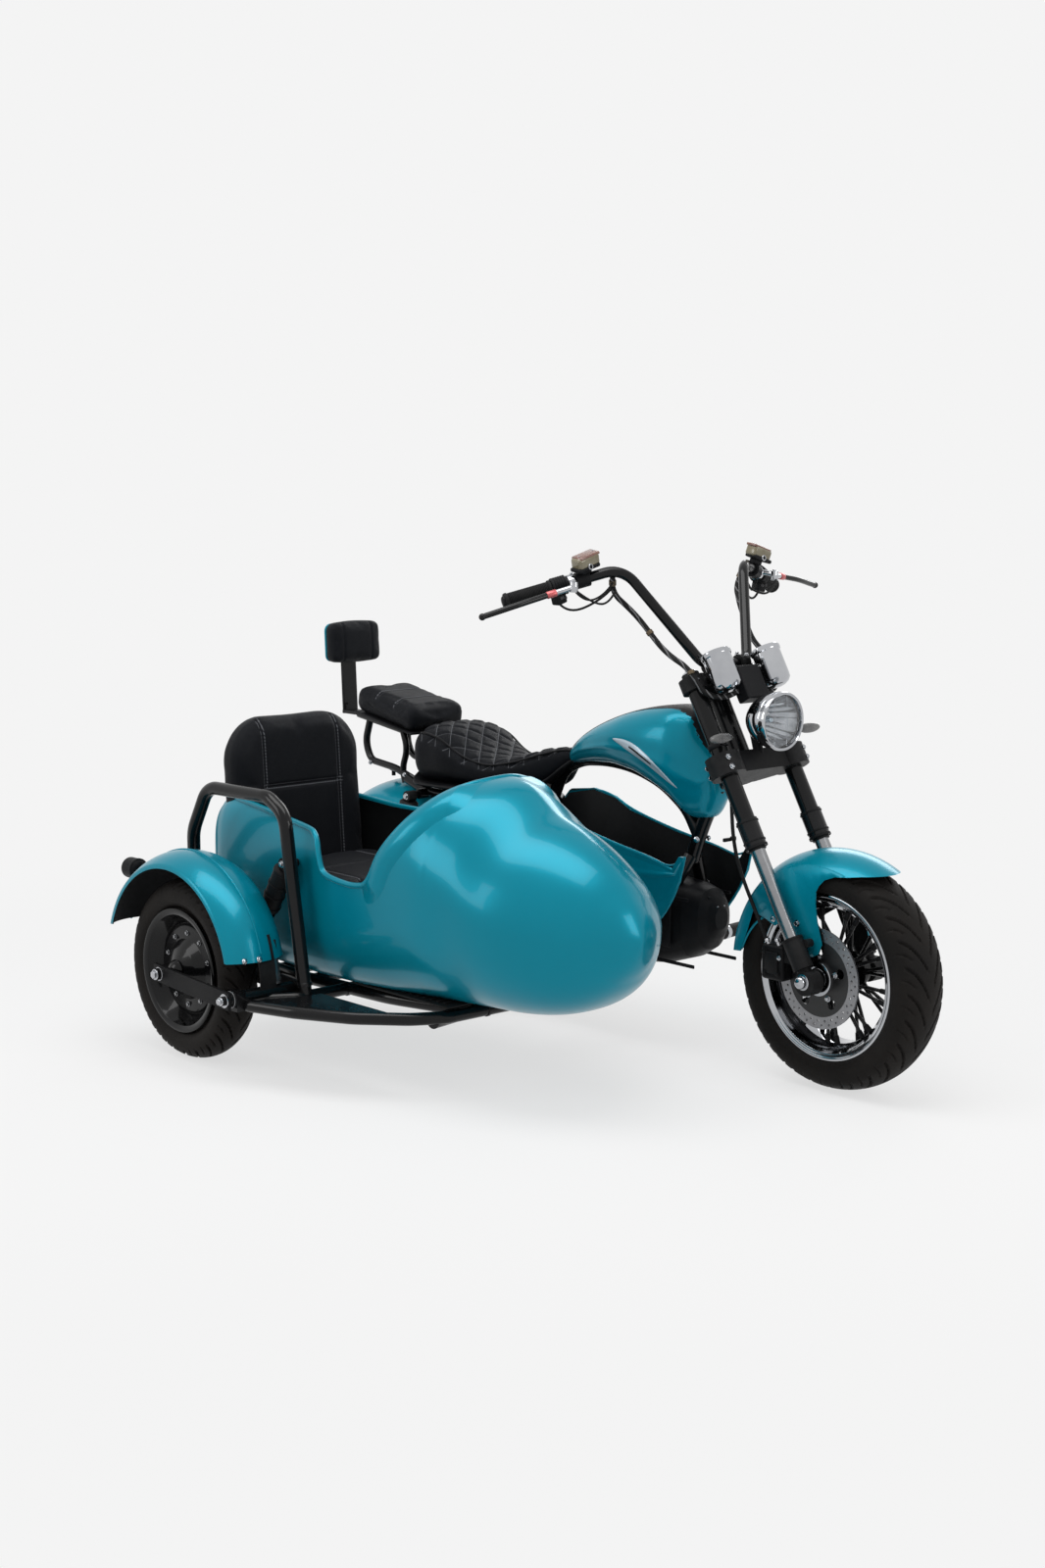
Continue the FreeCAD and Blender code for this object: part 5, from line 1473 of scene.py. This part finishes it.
def signal_pieces():
    shells = []
    lenses = []
    stalks = []
    for side in SIDES:
        middle = vec(-222, side * 138, 730)

        def leaf(u, v, front):
            run = 2 * u - 1
            wide = (1 - abs(run) ** 2.2) ** 0.62
            turn = math.pi * v + (0 if front else math.pi)
            reach = 11.0 * wide
            out = (5.2 if front else 12.5) * wide * math.sin(math.pi * v)
            x = out if front else -out
            return middle + vec(x + 3, side * 35 * run, reach * math.cos(turn if front else math.pi * v))

        for halves, front in ((shells, False), (lenses, True)):
            half = formed(24, 12, lambda u, v: leaf(u, v, front))
            thickened(half, 0.8)
            halves.append(half)
        start = on_fork(17, side * 104, 533)
        elbow = start.lerp(middle, 0.5) + vec(4, 0, 3)
        stalks.append(strand([start, elbow, middle - vec(7, 0, 0)], 5.4))
        stalks.append(ring_band(on_fork(0, side * LEG_SIDE, 533), LEG_UP, 19.5, 12, 2.5))
    shell = joined(shells + stalks)
    dressed(shell, "signal_shells", "fork", "black_plastic", angle=60, stands_for="turn_signals")
    dressed(joined(lenses), "signal_lenses", "fork", "smoked_lens", angle=60)


def grip_pieces():
    sleeves = []
    collars = []
    for side in SIDES:
        inner = on_bar(GRIP_LENGTH, side)
        way = bar_way(side)
        outline = [(0, 11.6), (0, 17.6), (1.5, 18.6), (5, 18.6), (6.5, 17.0), (8, 16.0)]
        for index in range(26):
            along = 9 + index * 3.3
            outline += [(along, 15.4), (along + 0.9, 16.6), (along + 2.2, 16.6), (along + 3.1, 15.4)]
        outline += [(96, 16), (97.5, 18), (101, 18.4), (104, 17), (104.5, 14), (104.5, 0), (99, 0), (99, 11.6)]
        sleeves.append(turned(outline, inner, way, 40))
        cap = on_bar(-6.5, side)
        collars.append(turned([(0, 0), (0, 13), (3, 12.5), (5, 10), (6, 5), (6, 0)], cap, way, 28))
    dressed(joined(sleeves), "bar_grips", "fork", "grip_rubber", angle=30, stands_for="grips")
    dressed(joined(collars), "bar_end_caps", "fork", "black_cast")


def switch_pieces():
    dark = []
    bright = []
    small = []
    for side in SIDES:
        way = bar_way(side)
        start = on_bar(GRIP_LENGTH + 34, side)
        outline = [(0, 11.6), (0, 19.5), (1.5, 21)]
        for index in range(5):
            along = 4 + 5.2 * index
            outline += [(along, 21), (along + 0.8, 20.2), (along + 1.8, 20.2), (along + 2.6, 21)]
        outline += [(31.5, 21), (33, 19.5), (33, 11.6)]
        dark.append(turned(outline, start, way, 36))
        thumb = on_bar(SWITCH_MIDDLE, side)
        tilt = math.degrees(math.atan2(way.z, abs(way.y))) * side
        dark.append(slab(thumb + vec(0, 0, -26), (24, 27, 24), 4, (tilt, 0, 0), 3))
        small.append(slab(thumb + vec(13, -3, -24), (5, 10, 7), 1.5, (tilt, 0, 0)))
        small.append(slab(thumb + vec(13, 8, -24), (4, 6, 6), 1.5, (tilt, 0, 0)))
        small.append(slab(thumb + vec(-14, 2, -22), (7, 12, 5), 1.5, (tilt, -20, 0)))
        perch = on_bar(LEVER_PERCH, side)
        bright.append(ring_band(perch, way, 11.4, 14, 6.5, 32))
        bright.append(bolt(perch + vec(2, 0, 18), (0.2, 0, 1), 3.4, 4))
    dressed(joined(dark), "switch_boxes", "fork", "black_plastic", angle=30, stands_for="switch_housings")
    dressed(joined(small), "switch_buttons", "fork", "button_grey")
    dressed(joined(bright), "lever_clamps", "fork", "chrome")


LEVER_TIP = {-1: vec(-546, -515, 985), 1: vec(-542, 515, 1008)}
LEVER_KNEE = {-1: vec(-508, -362, 1026), 1: vec(-508, 362, 1036)}


def lever_pieces():
    blades = []
    bright = []
    red = []
    for side in SIDES:
        pivot = vec(-486, side * 312, 1041)
        knee = LEVER_KNEE[side]
        tip = LEVER_TIP[side]
        perch = on_bar(LEVER_PERCH, side)
        arm = strand([perch, perch.lerp(pivot, 0.6) + vec(3, 0, 4), pivot, pivot.lerp(knee, 0.5), knee], 6.2)
        bright.append(arm)
        bright.append(rod(pivot - vec(0, 0, 11), pivot + vec(0, 0, 11), 9, sides=24, edge=1.2))
        bright.append(rod(pivot + vec(0, 0, 11), pivot + vec(0, 0, 13.5), 5, sides=6, edge=0.5))
        bend = knee.lerp(tip, 0.45) + vec(7, 0, 2)
        line = [knee, knee.lerp(bend, 0.3), bend, tip.lerp(knee, 0.12), tip]
        blades.append(strand(line, 6.4, resolution=10, rings=4))
        bpy.ops.mesh.primitive_uv_sphere_add(segments=20, ring_count=12, radius=mm(7.6), location=at(*tip))
        ball_end = bpy.context.object
        bpy.ops.object.transform_apply(location=True)
        blades.append(ball_end)
        red.append(rod(pivot.lerp(knee, 0.72), knee.lerp(tip, 0.04), 7.8, sides=20, edge=1.2))
    dressed(joined(blades), "brake_lever_blades", "fork", "black_paint", angle=40, stands_for="brake_levers")
    dressed(joined(bright), "brake_lever_arms", "fork", "chrome")
    dressed(joined(red), "lever_adjusters", "fork", "red_paint")


def reservoir_pieces():
    tanks = []
    lids = []
    dark = []
    bright = []
    glass = []
    for side in SIDES:
        middle = on_bar(GRIP_LENGTH + 71, side)
        way = bar_way(side)
        tilt = math.degrees(math.atan2(way.z, way.y))
        if side < 0:
            tilt -= 180
        seat = middle + vec(13, side * 3, 40)
        tanks.append(slab(seat, (33, 58, 26), 7, (tilt, 8, 0), 4))
        dark.append(ring_band(middle, way, 11.4, 30, 6.5, 32))
        dark.append(slab(middle + vec(8, 0, 21), (18, 26, 16), 3, (tilt, 8, 0)))
        dark.append(slab(seat - vec(0, 0, 13), (34, 59, 9), 3.5, (tilt, 8, 0), 3))
        lids.append(slab(seat + vec(1, 0, 12), (31, 56, 7), 3, (tilt, 8, 0), 3))
        for end in (-20, 20):
            rise = 15 + end * math.tan(math.radians(tilt))
            bright.append(bolt(seat + vec(1, end, rise), (0.1, 0, 1), 2.2, 2))
        face = seat + vec(16.5, 0, -12)
        bright.append(ring_band(face, (1, 0, 0.1), 5, 3, 1.6, 28))
        glass.append(rod(face, face + vec(1.2, 0, 0), 5, sides=24, edge=0.4))
    dressed(joined(tanks), "fluid_tanks", "fork", "amber_plastic", angle=50, stands_for="brake_reservoirs")
    dressed_all("fork", (
        ("fluid_tank_lids", lids, "brown_lid"),
        ("fluid_tank_bases", dark, "black_plastic"),
        ("fluid_tank_screws", bright, "chrome"),
        ("fluid_tank_windows", glass, "dark_lining"),
    ))


def cable_pieces():
    wires = []
    clips = []
    for side in SIDES:
        clips.append(ring_band(vec(-486, side * 199, 1046), (-14, side * -14, -43), 6, 12, 2.2, 24))
        clips.append(ring_band(vec(-420, side * 151, 940), (64, side * -22, -76), 6, 9, 2.0, 24))
        clips.append(ring_band(on_fork(36, side * 134, 692), LEG_UP, 6, 8, 2.0, 24))
        perch = on_bar(LEVER_PERCH, side)
        low = on_bar(SWITCH_MIDDLE, side) + vec(0, 0, -36)
        wires.append(strand([
            perch + vec(6, 0, -12), perch + vec(14, -side * 26, -44), vec(-482, side * 226, 1020),
            vec(-480, side * 204, 1046),
        ], 2.2))
        wires.append(strand([
            low, low + vec(6, -side * 24, -26), vec(-494, side * 218, 1012), vec(-487, side * 198, 1036),
        ], 2.6))
        wires.append(strand([
            vec(-480, side * 312, 1034), vec(-462, side * 280, 1006), vec(-462, side * 232, 1002),
            vec(-478, side * 197, 1030),
        ], 2.4))
    dressed(joined(wires), "bar_wires", "fork", "grip_rubber")
    dressed(joined(clips), "cable_clips", "fork", "brass")


def brake_pieces():
    bright = []
    dark = []
    middle = vec(-104, -74, 262)
    for dx, dz in ((-20, 24), (18, -20), (-18, -20)):
        dark.append(bolt(middle + vec(dx, -24, dz), (0, -1, 0), 5, 5))
    dark.append(slab(middle + vec(0, -25, 2), (36, 5, 46), 2, (0, 0, 0)))
    for dx, dz in ((-16, 32), (12, 36)):
        start = middle + vec(dx, -14, dz)
        bright.append(rod(start, start + vec(-3, -3, 14), 5, 4, sides=6, edge=0.5))
        bright.append(ring_band(start + vec(-3, -3, 15), (-0.2, -0.1, 1), 3.5, 7, 2.2, 20))
    bright.append(bolt(middle + vec(22, -26, 16), (0, -1, 0), 4, 4))
    clip_at = vec(-242, -73, 508)
    dark.append(ring_band(clip_at, (-12, 10, 52), 4.2, 8, 2.4, 20))
    dark.append(slab(clip_at + vec(-4, -14, -2), (6, 24, 8), 1.5))
    dressed(joined(bright), "brake_fittings", "fork", "chrome")
    dressed(joined(dark), "brake_bolts", "fork", "black_cast")


def fender_trim():
    edge = strand([(-152, -74, 350), (-190, -74, 328), (-214, -72, 272)], 2.4)
    bolts = [
        bolt(seated("front_fender", (x, side * 76, z), (0, side, 0)), (0, side, 0), 5, 5)
        for side in SIDES for x, z in ((-55, 353), (-30, 314), (-122, 352))
    ]
    dressed(joined(bolts), "front_fender_bolts", "fork", "chrome")
    dressed(edge, "front_fender_edge", "fork", "teal_paint")


# Motorcycle's middle and rear

def loom_finish():
    mesh = nodes["bar_cables"].data
    mesh.materials.clear()
    mesh.materials.append(MATERIALS["loom_wrap"])


def battery_pieces():
    panels = []
    bolts = []
    for side in SIDES:
        panels += [slab((x, side * 66, 286), (72, 5, 96), 2.2) for x in (-470, -560, -650, -740, -830)]
        panels.append(slab((-640, side * 67, 352), (520, 3.5, 7), 1.5))
        panels.append(slab((-640, side * 66.5, 206), (560, 4, 8), 1.5))
        bolts += [bolt((x, side * 67, 366), (0, side, 0), 4.2, 5) for x in (-452, -560, -680, -800, -910)]
    for z in (300, 326, 352):
        panels.append(slab((-361 + (352 - z) * 0.22, 0, z), (8, 52, 12), 2.0, (0, 12, 0)))
    panels.append(slab((-352, 0, 318), (7, 34, 46), 2.5, (0, -14, 0), 3))
    bolts += [bolt((-348, y, 334), (1, 0, 0), 3.6, 4) for y in (-10, 10)]
    dressed(joined(panels), "battery_panels", "chassis", "black_plastic")
    dressed(joined(bolts), "battery_bolts", "chassis", "bright_steel")


def fairing_pieces():
    """Curved side covers over the flat ones of the frame, with a folded edge."""
    low_edge = [
        (-985, 296), (-950, 240), (-880, 224), (-700, 221), (-520, 249), (-428, 303), (-392, 351), (-366, 400),
        (-352, 454),
    ]
    high_edge = [
        (-985, 476), (-948, 514), (-862, 531), (-788, 518), (-738, 494), (-590, 462), (-456, 443), (-386, 424),
        (-352, 456),
    ]
    covers = []
    for side in SIDES:
        def place(u, v):
            x, z = along_rows([along_rows(low_edge, u), along_rows(high_edge, u)], v)
            swell = 7.0 * math.sin(math.pi * v) ** 0.7 * math.sin(math.pi * min(max(u, 0.0), 1.0)) ** 0.5
            fold = 2.2 * dip(v - 0.62, 0.05)
            return x, side * (106 + swell + fold), z

        cover = formed(96, 28, place)
        thickened(cover, 2.5)
        covers.append(cover)
    dressed(joined(covers), "side_covers", "chassis", "teal_paint", angle=45)
    trims = []
    for side in SIDES:
        for edge in (high_edge[1:], low_edge):
            trims.append(strand([(x, side * 107, z) for x, z in edge], 2.6, resolution=5))
    dressed(joined(trims), "side_cover_edges", "chassis", "teal_paint")
    bolts = [bolt((x, side * 112, z), (0, side, 0), 4, 4)
             for side in SIDES for x, z in ((-470, 330), (-620, 272), (-800, 262), (-930, 300), (-760, 488))]
    dressed(joined(bolts), "side_cover_bolts", "chassis", "chrome")


def peg_pieces():
    rubber = []
    bright = []
    for side in SIDES:
        root = vec(-486, side * 150, 232)
        tip = vec(-500, side * 262, 232)
        way = (tip - root).normalized()
        outline = [(24, 0), (24, 13.5)]
        for index in range(14):
            along = 25.5 + index * 6.0
            outline += [(along, 13.6), (along + 0.9, 15.2), (along + 3.4, 15.2), (along + 4.3, 13.6)]
        outline += [(109, 15.4), (113, 15.4), (114, 14), (114, 0)]
        rubber.append(turned(outline, root, way, 32))
        bright.append(ring_band(root + way * 16, way, 15, 14, 1.6, 32))
        bright.append(bolt(vec(-486, side * 150, 247), (0, 0, 1), 5, 5))
        inner = vec(-486, side * 72, 232)
        bright.append(ring_band(inner, (0, 1, 0), 10, 14, 4, 28))
    dressed(joined(rubber), "peg_rubbers", "chassis", "grip_rubber", angle=30)
    dressed(joined(bright), "peg_collars", "chassis", "chrome")


def coil(low, high, radius, wire, turns):
    along = high - low
    way = along.normalized()
    side = way.cross(vec(0, 1, 0)).normalized()
    other = way.cross(side)
    count = turns * 10
    points = []
    for index in range(count + 1):
        angle = 2 * math.pi * turns * index / count
        away = (side * math.cos(angle) + other * math.sin(angle)) * radius
        points.append(low + along * (index / count) + away)
    return strand(points, wire, resolution=3, rings=3)


def shock_pieces():
    springs = []
    dark = []
    bright = []
    rows = [(vec(-1318, side * 136, 268), vec(-1256, side * 136, 490), 22) for side in SIDES]
    rows.append((vec(-1020, -762, 262), vec(-906, -762, 446), 22))
    for low, high, thick in rows:
        way = (high - low).normalized()
        length = (high - low).length
        springs.append(coil(low + way * 22, low + way * (0.44 * length + 4), 15, 3.4, 5))
        dark.append(ring_band(low + way * 20, way, 7, 5, 13, 32))
        for share in (0.46, 0.60, 0.74):
            dark.append(ring_band(low + way * share * length, way, thick, 5, 1.8, 36))
        dark.append(ring_band(high - way * 20, way, thick, 8, 1.2, 36))
        dark.append(turned([(0, 0), (0, 21), (2, 22), (5, 20), (7, 14), (7, 0)], high - way * 18, way, 36))
        out = math.copysign(1, high.y)
        bright.append(bolt(high + vec(0, out * 12, 0), (0, out, 0), 6, 6))
        bright.append(bolt(low + vec(0, out * 12, 0), (0, out, 0), 6, 6))
    dressed(joined(springs), "shock_springs", "chassis", "black_paint", angle=60)
    dressed(joined(dark), "shock_rings", "chassis", "black_cast")
    dressed(joined(bright), "shock_caps", "chassis", "chrome")


def rear_pieces():
    bright = []
    for side in SIDES:
        end = REAR_AXLE + vec(0, side * 155, 0)
        bright.append(turned([(0, 0), (0, 13), (8, 13), (12, 10), (14, 0)], end, vec(0, side, 0), 24))
        pivot = vec(-1032, side * 147, 238)
        bright.append(bolt(pivot, (0, side, 0), 9, 8))
        ring = turned_copies(bolt(REAR_AXLE + vec(0, side * 84, 88), (0, side, 0), 5, 5), 8, at(*REAR_AXLE))
        dressed(ring, "rear_hub_bolts_" + ("left" if side > 0 else "right"), "rear_wheel", "bright_steel")
    for side in SIDES:
        for x, z in ((-1488, 543), (-1352, 526)):
            bright.append(bolt((x, side * 75, z), (0, side, 0), 4.5, 5))
    knob = [(-8, 0), (-8, 5), (4, 5), (6, 10), (16, 11), (19, 8), (20, 0)]
    knob = turned(knob, (-1440, -40, 520), vec(0, 0, 1), 28)
    dressed(joined(bright), "rear_bolts", "chassis", "chrome")
    dressed(knob, "seat_knob", "chassis", "black_plastic")
    red = slab((-1677, 0, 362), (4, 74, 34), 1.6, (0, 0, 0), 3)
    lens, rim, cap = [
        turned(outline, (x, -816, 372), vec(way, 0, 0), 36) for outline, x, way in (
            ([(0, 0), (0, 19), (2.5, 19.5), (4, 17), (5, 8), (5.2, 0)], -1446, -1),
            ([(-2, 22), (-2, 25.2), (3, 25.2), (5, 23.5), (5, 21), (1, 20)], -1410, 1),
            ([(0, 0), (0, 24), (4, 23.5), (9, 20), (12, 12), (13, 0)], -1412, 1),
        )
    ]
    dressed(joined([red, lens]), "rear_lamp_lenses", "chassis", "red_lens")
    dressed(joined([rim, cap]), "side_lamp_shell", "chassis", "black_plastic")


def frame_trim():
    welds = [
        ring_band(centre, way, 16.5, 5, 1.8, 40)
        for centre, way in (((-361, 0, 592), (-0.3, 0, -1)), ((-434, 0, 430), (-0.1, 0, -1)))
    ]
    welds += [ring_band(on_fork(STEM_BACK, 0, along), LEG_UP, 27, 7, 3, 44) for along in (517, 655)]
    bright = [ring_band(on_fork(STEM_BACK, 0, 512.6), LEG_UP, 24, 3, 2, 44)]
    bright += [bolt((-404, side * 17, 478), (0.4, side, 0.2), 5, 6) for side in SIDES]
    dressed(joined(welds), "frame_collars", "chassis", "black_paint")
    dressed(joined(bright), "frame_bolts", "chassis", "chrome")


# Sidecar's frame, wheel and fender

def side_wheel_pieces():
    dish = [
        (-45, 136), (-43, 138), (-40, 136), (-39, 127), (-30, 124), (-14, 107), (14, 107), (30, 124),
        (39, 127), (40, 136), (43, 138), (45, 136), (45, 131), (42, 123), (33, 119), (16, 102), (10, 100),
        (8, 60), (8, 24), (60, 22), (62, 18), (62, 0), (-62, 0), (-61, 6), (-57, 11), (-50, 15), (-47, 17),
        (-45, 26), (-43, 31), (-35, 48), (-33, 52), (-18, 66), (-16.5, 69), (-17, 92), (-16, 96), (-10, 99.5),
        (-9, 101), (-16, 103), (-33, 119), (-42, 123), (-45, 131),
    ]
    rim = turned(dish, SIDE_AXLE, steps=96)
    rounded_edges(rim, 0.8, 2, 28)
    dressed(rim, "sidecar_rim_dish", "sidecar_wheel", "black_paint", angle=35, stands_for="sidecar_rim")
    bolts = turned_copies(bolt(SIDE_AXLE + vec(0, -17, 80), (0, -1, 0), 4.4, 5), 10, at(*SIDE_AXLE))
    cap = turned(
        [(0, 0), (0, 24), (3, 25), (6, 23), (10, 20), (15, 14), (18, 8), (18, 0)], SIDE_AXLE - vec(0, 46, 0),
        vec(0, -1, 0), 40,
    )
    dressed(bolts, "sidecar_hub_bolts", "sidecar_wheel", "bright_steel")
    dressed(cap, "sidecar_hub_cap", "sidecar_wheel", "black_paint")
    valve = rod(SIDE_AXLE + vec(0, -34, -116), SIDE_AXLE + vec(0, -46, -104), 3, sides=12, edge=0.5)
    dressed(valve, "sidecar_valve", "sidecar_wheel", "grip_rubber")


def side_arm_trim():
    bright = []
    for x, z in ((-864, 183), (-1111, 199)):
        bright.append(bolt((x, -967, z), (0, -1, 0), 9 if x < -1000 else 7, 8))
        bright.append(ring_band((x, -959, z), (0, 1, 0), 10, 3, 5, 32))
        bright.append(bolt((x, -765, z), (0, 1, 0), 8, 6))
    bright.append(bolt((-1020, -785, 192), (0, -1, 0), 6, 5))
    welds = [ring_band((-864, -941, 183), (0, 1, 0), 16, 6, 2.4, 36)]
    collars = [
        ring_band(centre, way, radius, 7, 1.8, 36) for centre, way, radius in (
            ((-829, -775, 196), (-0.17, 0, 1), 15), ((-484, -560, 170), (0, 1, 0), 13.5),
            ((-826, -664, 170), (0, 1, 0), 13.5),
        )
    ]
    end_cap = turned([(0, 0), (0, 13.5), (1.5, 13.5), (4, 11), (5, 0)], (-826, -648, 170), vec(0, 1, 0), 28)
    dressed(joined(bright), "side_arm_bolts", "chassis", "chrome")
    dressed(joined(welds), "side_arm_welds", "chassis", "bright_steel")
    dressed(joined(collars + [end_cap]), "sidecar_frame_collars", "chassis", "black_paint")


def side_fender_trim():
    way = (1, 0, 0.15)
    bolts = [bolt(seated("sidecar_fender", (-850, y, 262), way), way, 5, 4) for y in (-905, -872)]
    dressed(joined(bolts), "side_fender_bolts", "chassis", "chrome")
    angles = [math.radians(-74 + index * 148 / 24) for index in range(25)]
    rib = [SIDE_AXLE + vec(math.sin(angle), 0, math.cos(angle)) * 262.6 for angle in angles]
    dressed(strand(rib, 2.2, resolution=3), "side_fender_crease", "chassis", "teal_paint")


def lined_fenders():
    """Painted outside, dark on the side towards the wheel."""
    for name, node, body, axle in (
        ("sidecar_fender_finished", "sidecar_fender", "chassis", SIDE_AXLE),
        ("front_fender_finished", "front_fender", "fork", FRONT_AXLE),
        ("rear_fender_finished", "rear_fender", "chassis", REAR_AXLE),
    ):
        def inward(spot, facing, axle=axle):
            away = spot - axle
            across = away.y * facing.y < 0 and abs(facing.y) > 0.5
            return across or vec(away.x, 0, away.z).normalized().dot(facing) < -0.15

        two_finishes(name, node, body, "teal_paint", "dark_lining", inward)
    two_finishes(
        "side_fairings_finished", "side_fairings", "chassis", "teal_paint", "dark_lining",
        lambda spot, facing: spot.y * facing.y < 0 and abs(facing.y) > 0.4,
    )


def bracket_plate():
    plate = slab((-868, -866 + 34, 246), (5, 34, 96), 2, (0, -12, 0), 3)
    dressed(plate, "side_fender_bracket", "chassis", "bright_steel")


def dress_frame_nodes():
    """Gives each shown node of the frame the finish of its slot."""
    for row in frame["record"]["subparts"]:
        mesh = nodes[row["node"]].data
        mesh.materials.clear()
        mesh.materials.append(MATERIALS[row["material_slot"]])


bpy.ops.object.select_all(action="DESELECT")
camera()
studio()
dress_frame_nodes()
hull_shell()
hull_lip()
hull_trim()
tank_shell()
tank_inserts()
tyre_piece("front_tread", "front_tyre", "front_wheel", FRONT_AXLE, 243, 128, 175, 26, 22)
tyre_piece("rear_tread", "rear_tyre", "rear_wheel", REAR_AXLE, 238, 215, 163, 24, 20)
tyre_piece("sidecar_tread", "sidecar_tyre", "sidecar_wheel", SIDE_AXLE, 199, 90, 136, 24, 18)
front_wheel_pieces()
side_wheel_pieces()
rider_saddle()
pillion_cushion()
backrest_cushion()
passenger_cushion()
passenger_back()
fork_trim()
headlamp_pieces()
gauge_pieces()
signal_pieces()
grip_pieces()
switch_pieces()
lever_pieces()
reservoir_pieces()
cable_pieces()
brake_pieces()
fender_trim()
battery_pieces()
fairing_pieces()
peg_pieces()
shock_pieces()
rear_pieces()
frame_trim()
side_arm_trim()
side_fender_trim()
bracket_plate()
lined_fenders()
loom_finish()

bpy.context.scene.view_settings.view_transform = "Standard"
bpy.ops.object.select_all(action="DESELECT")
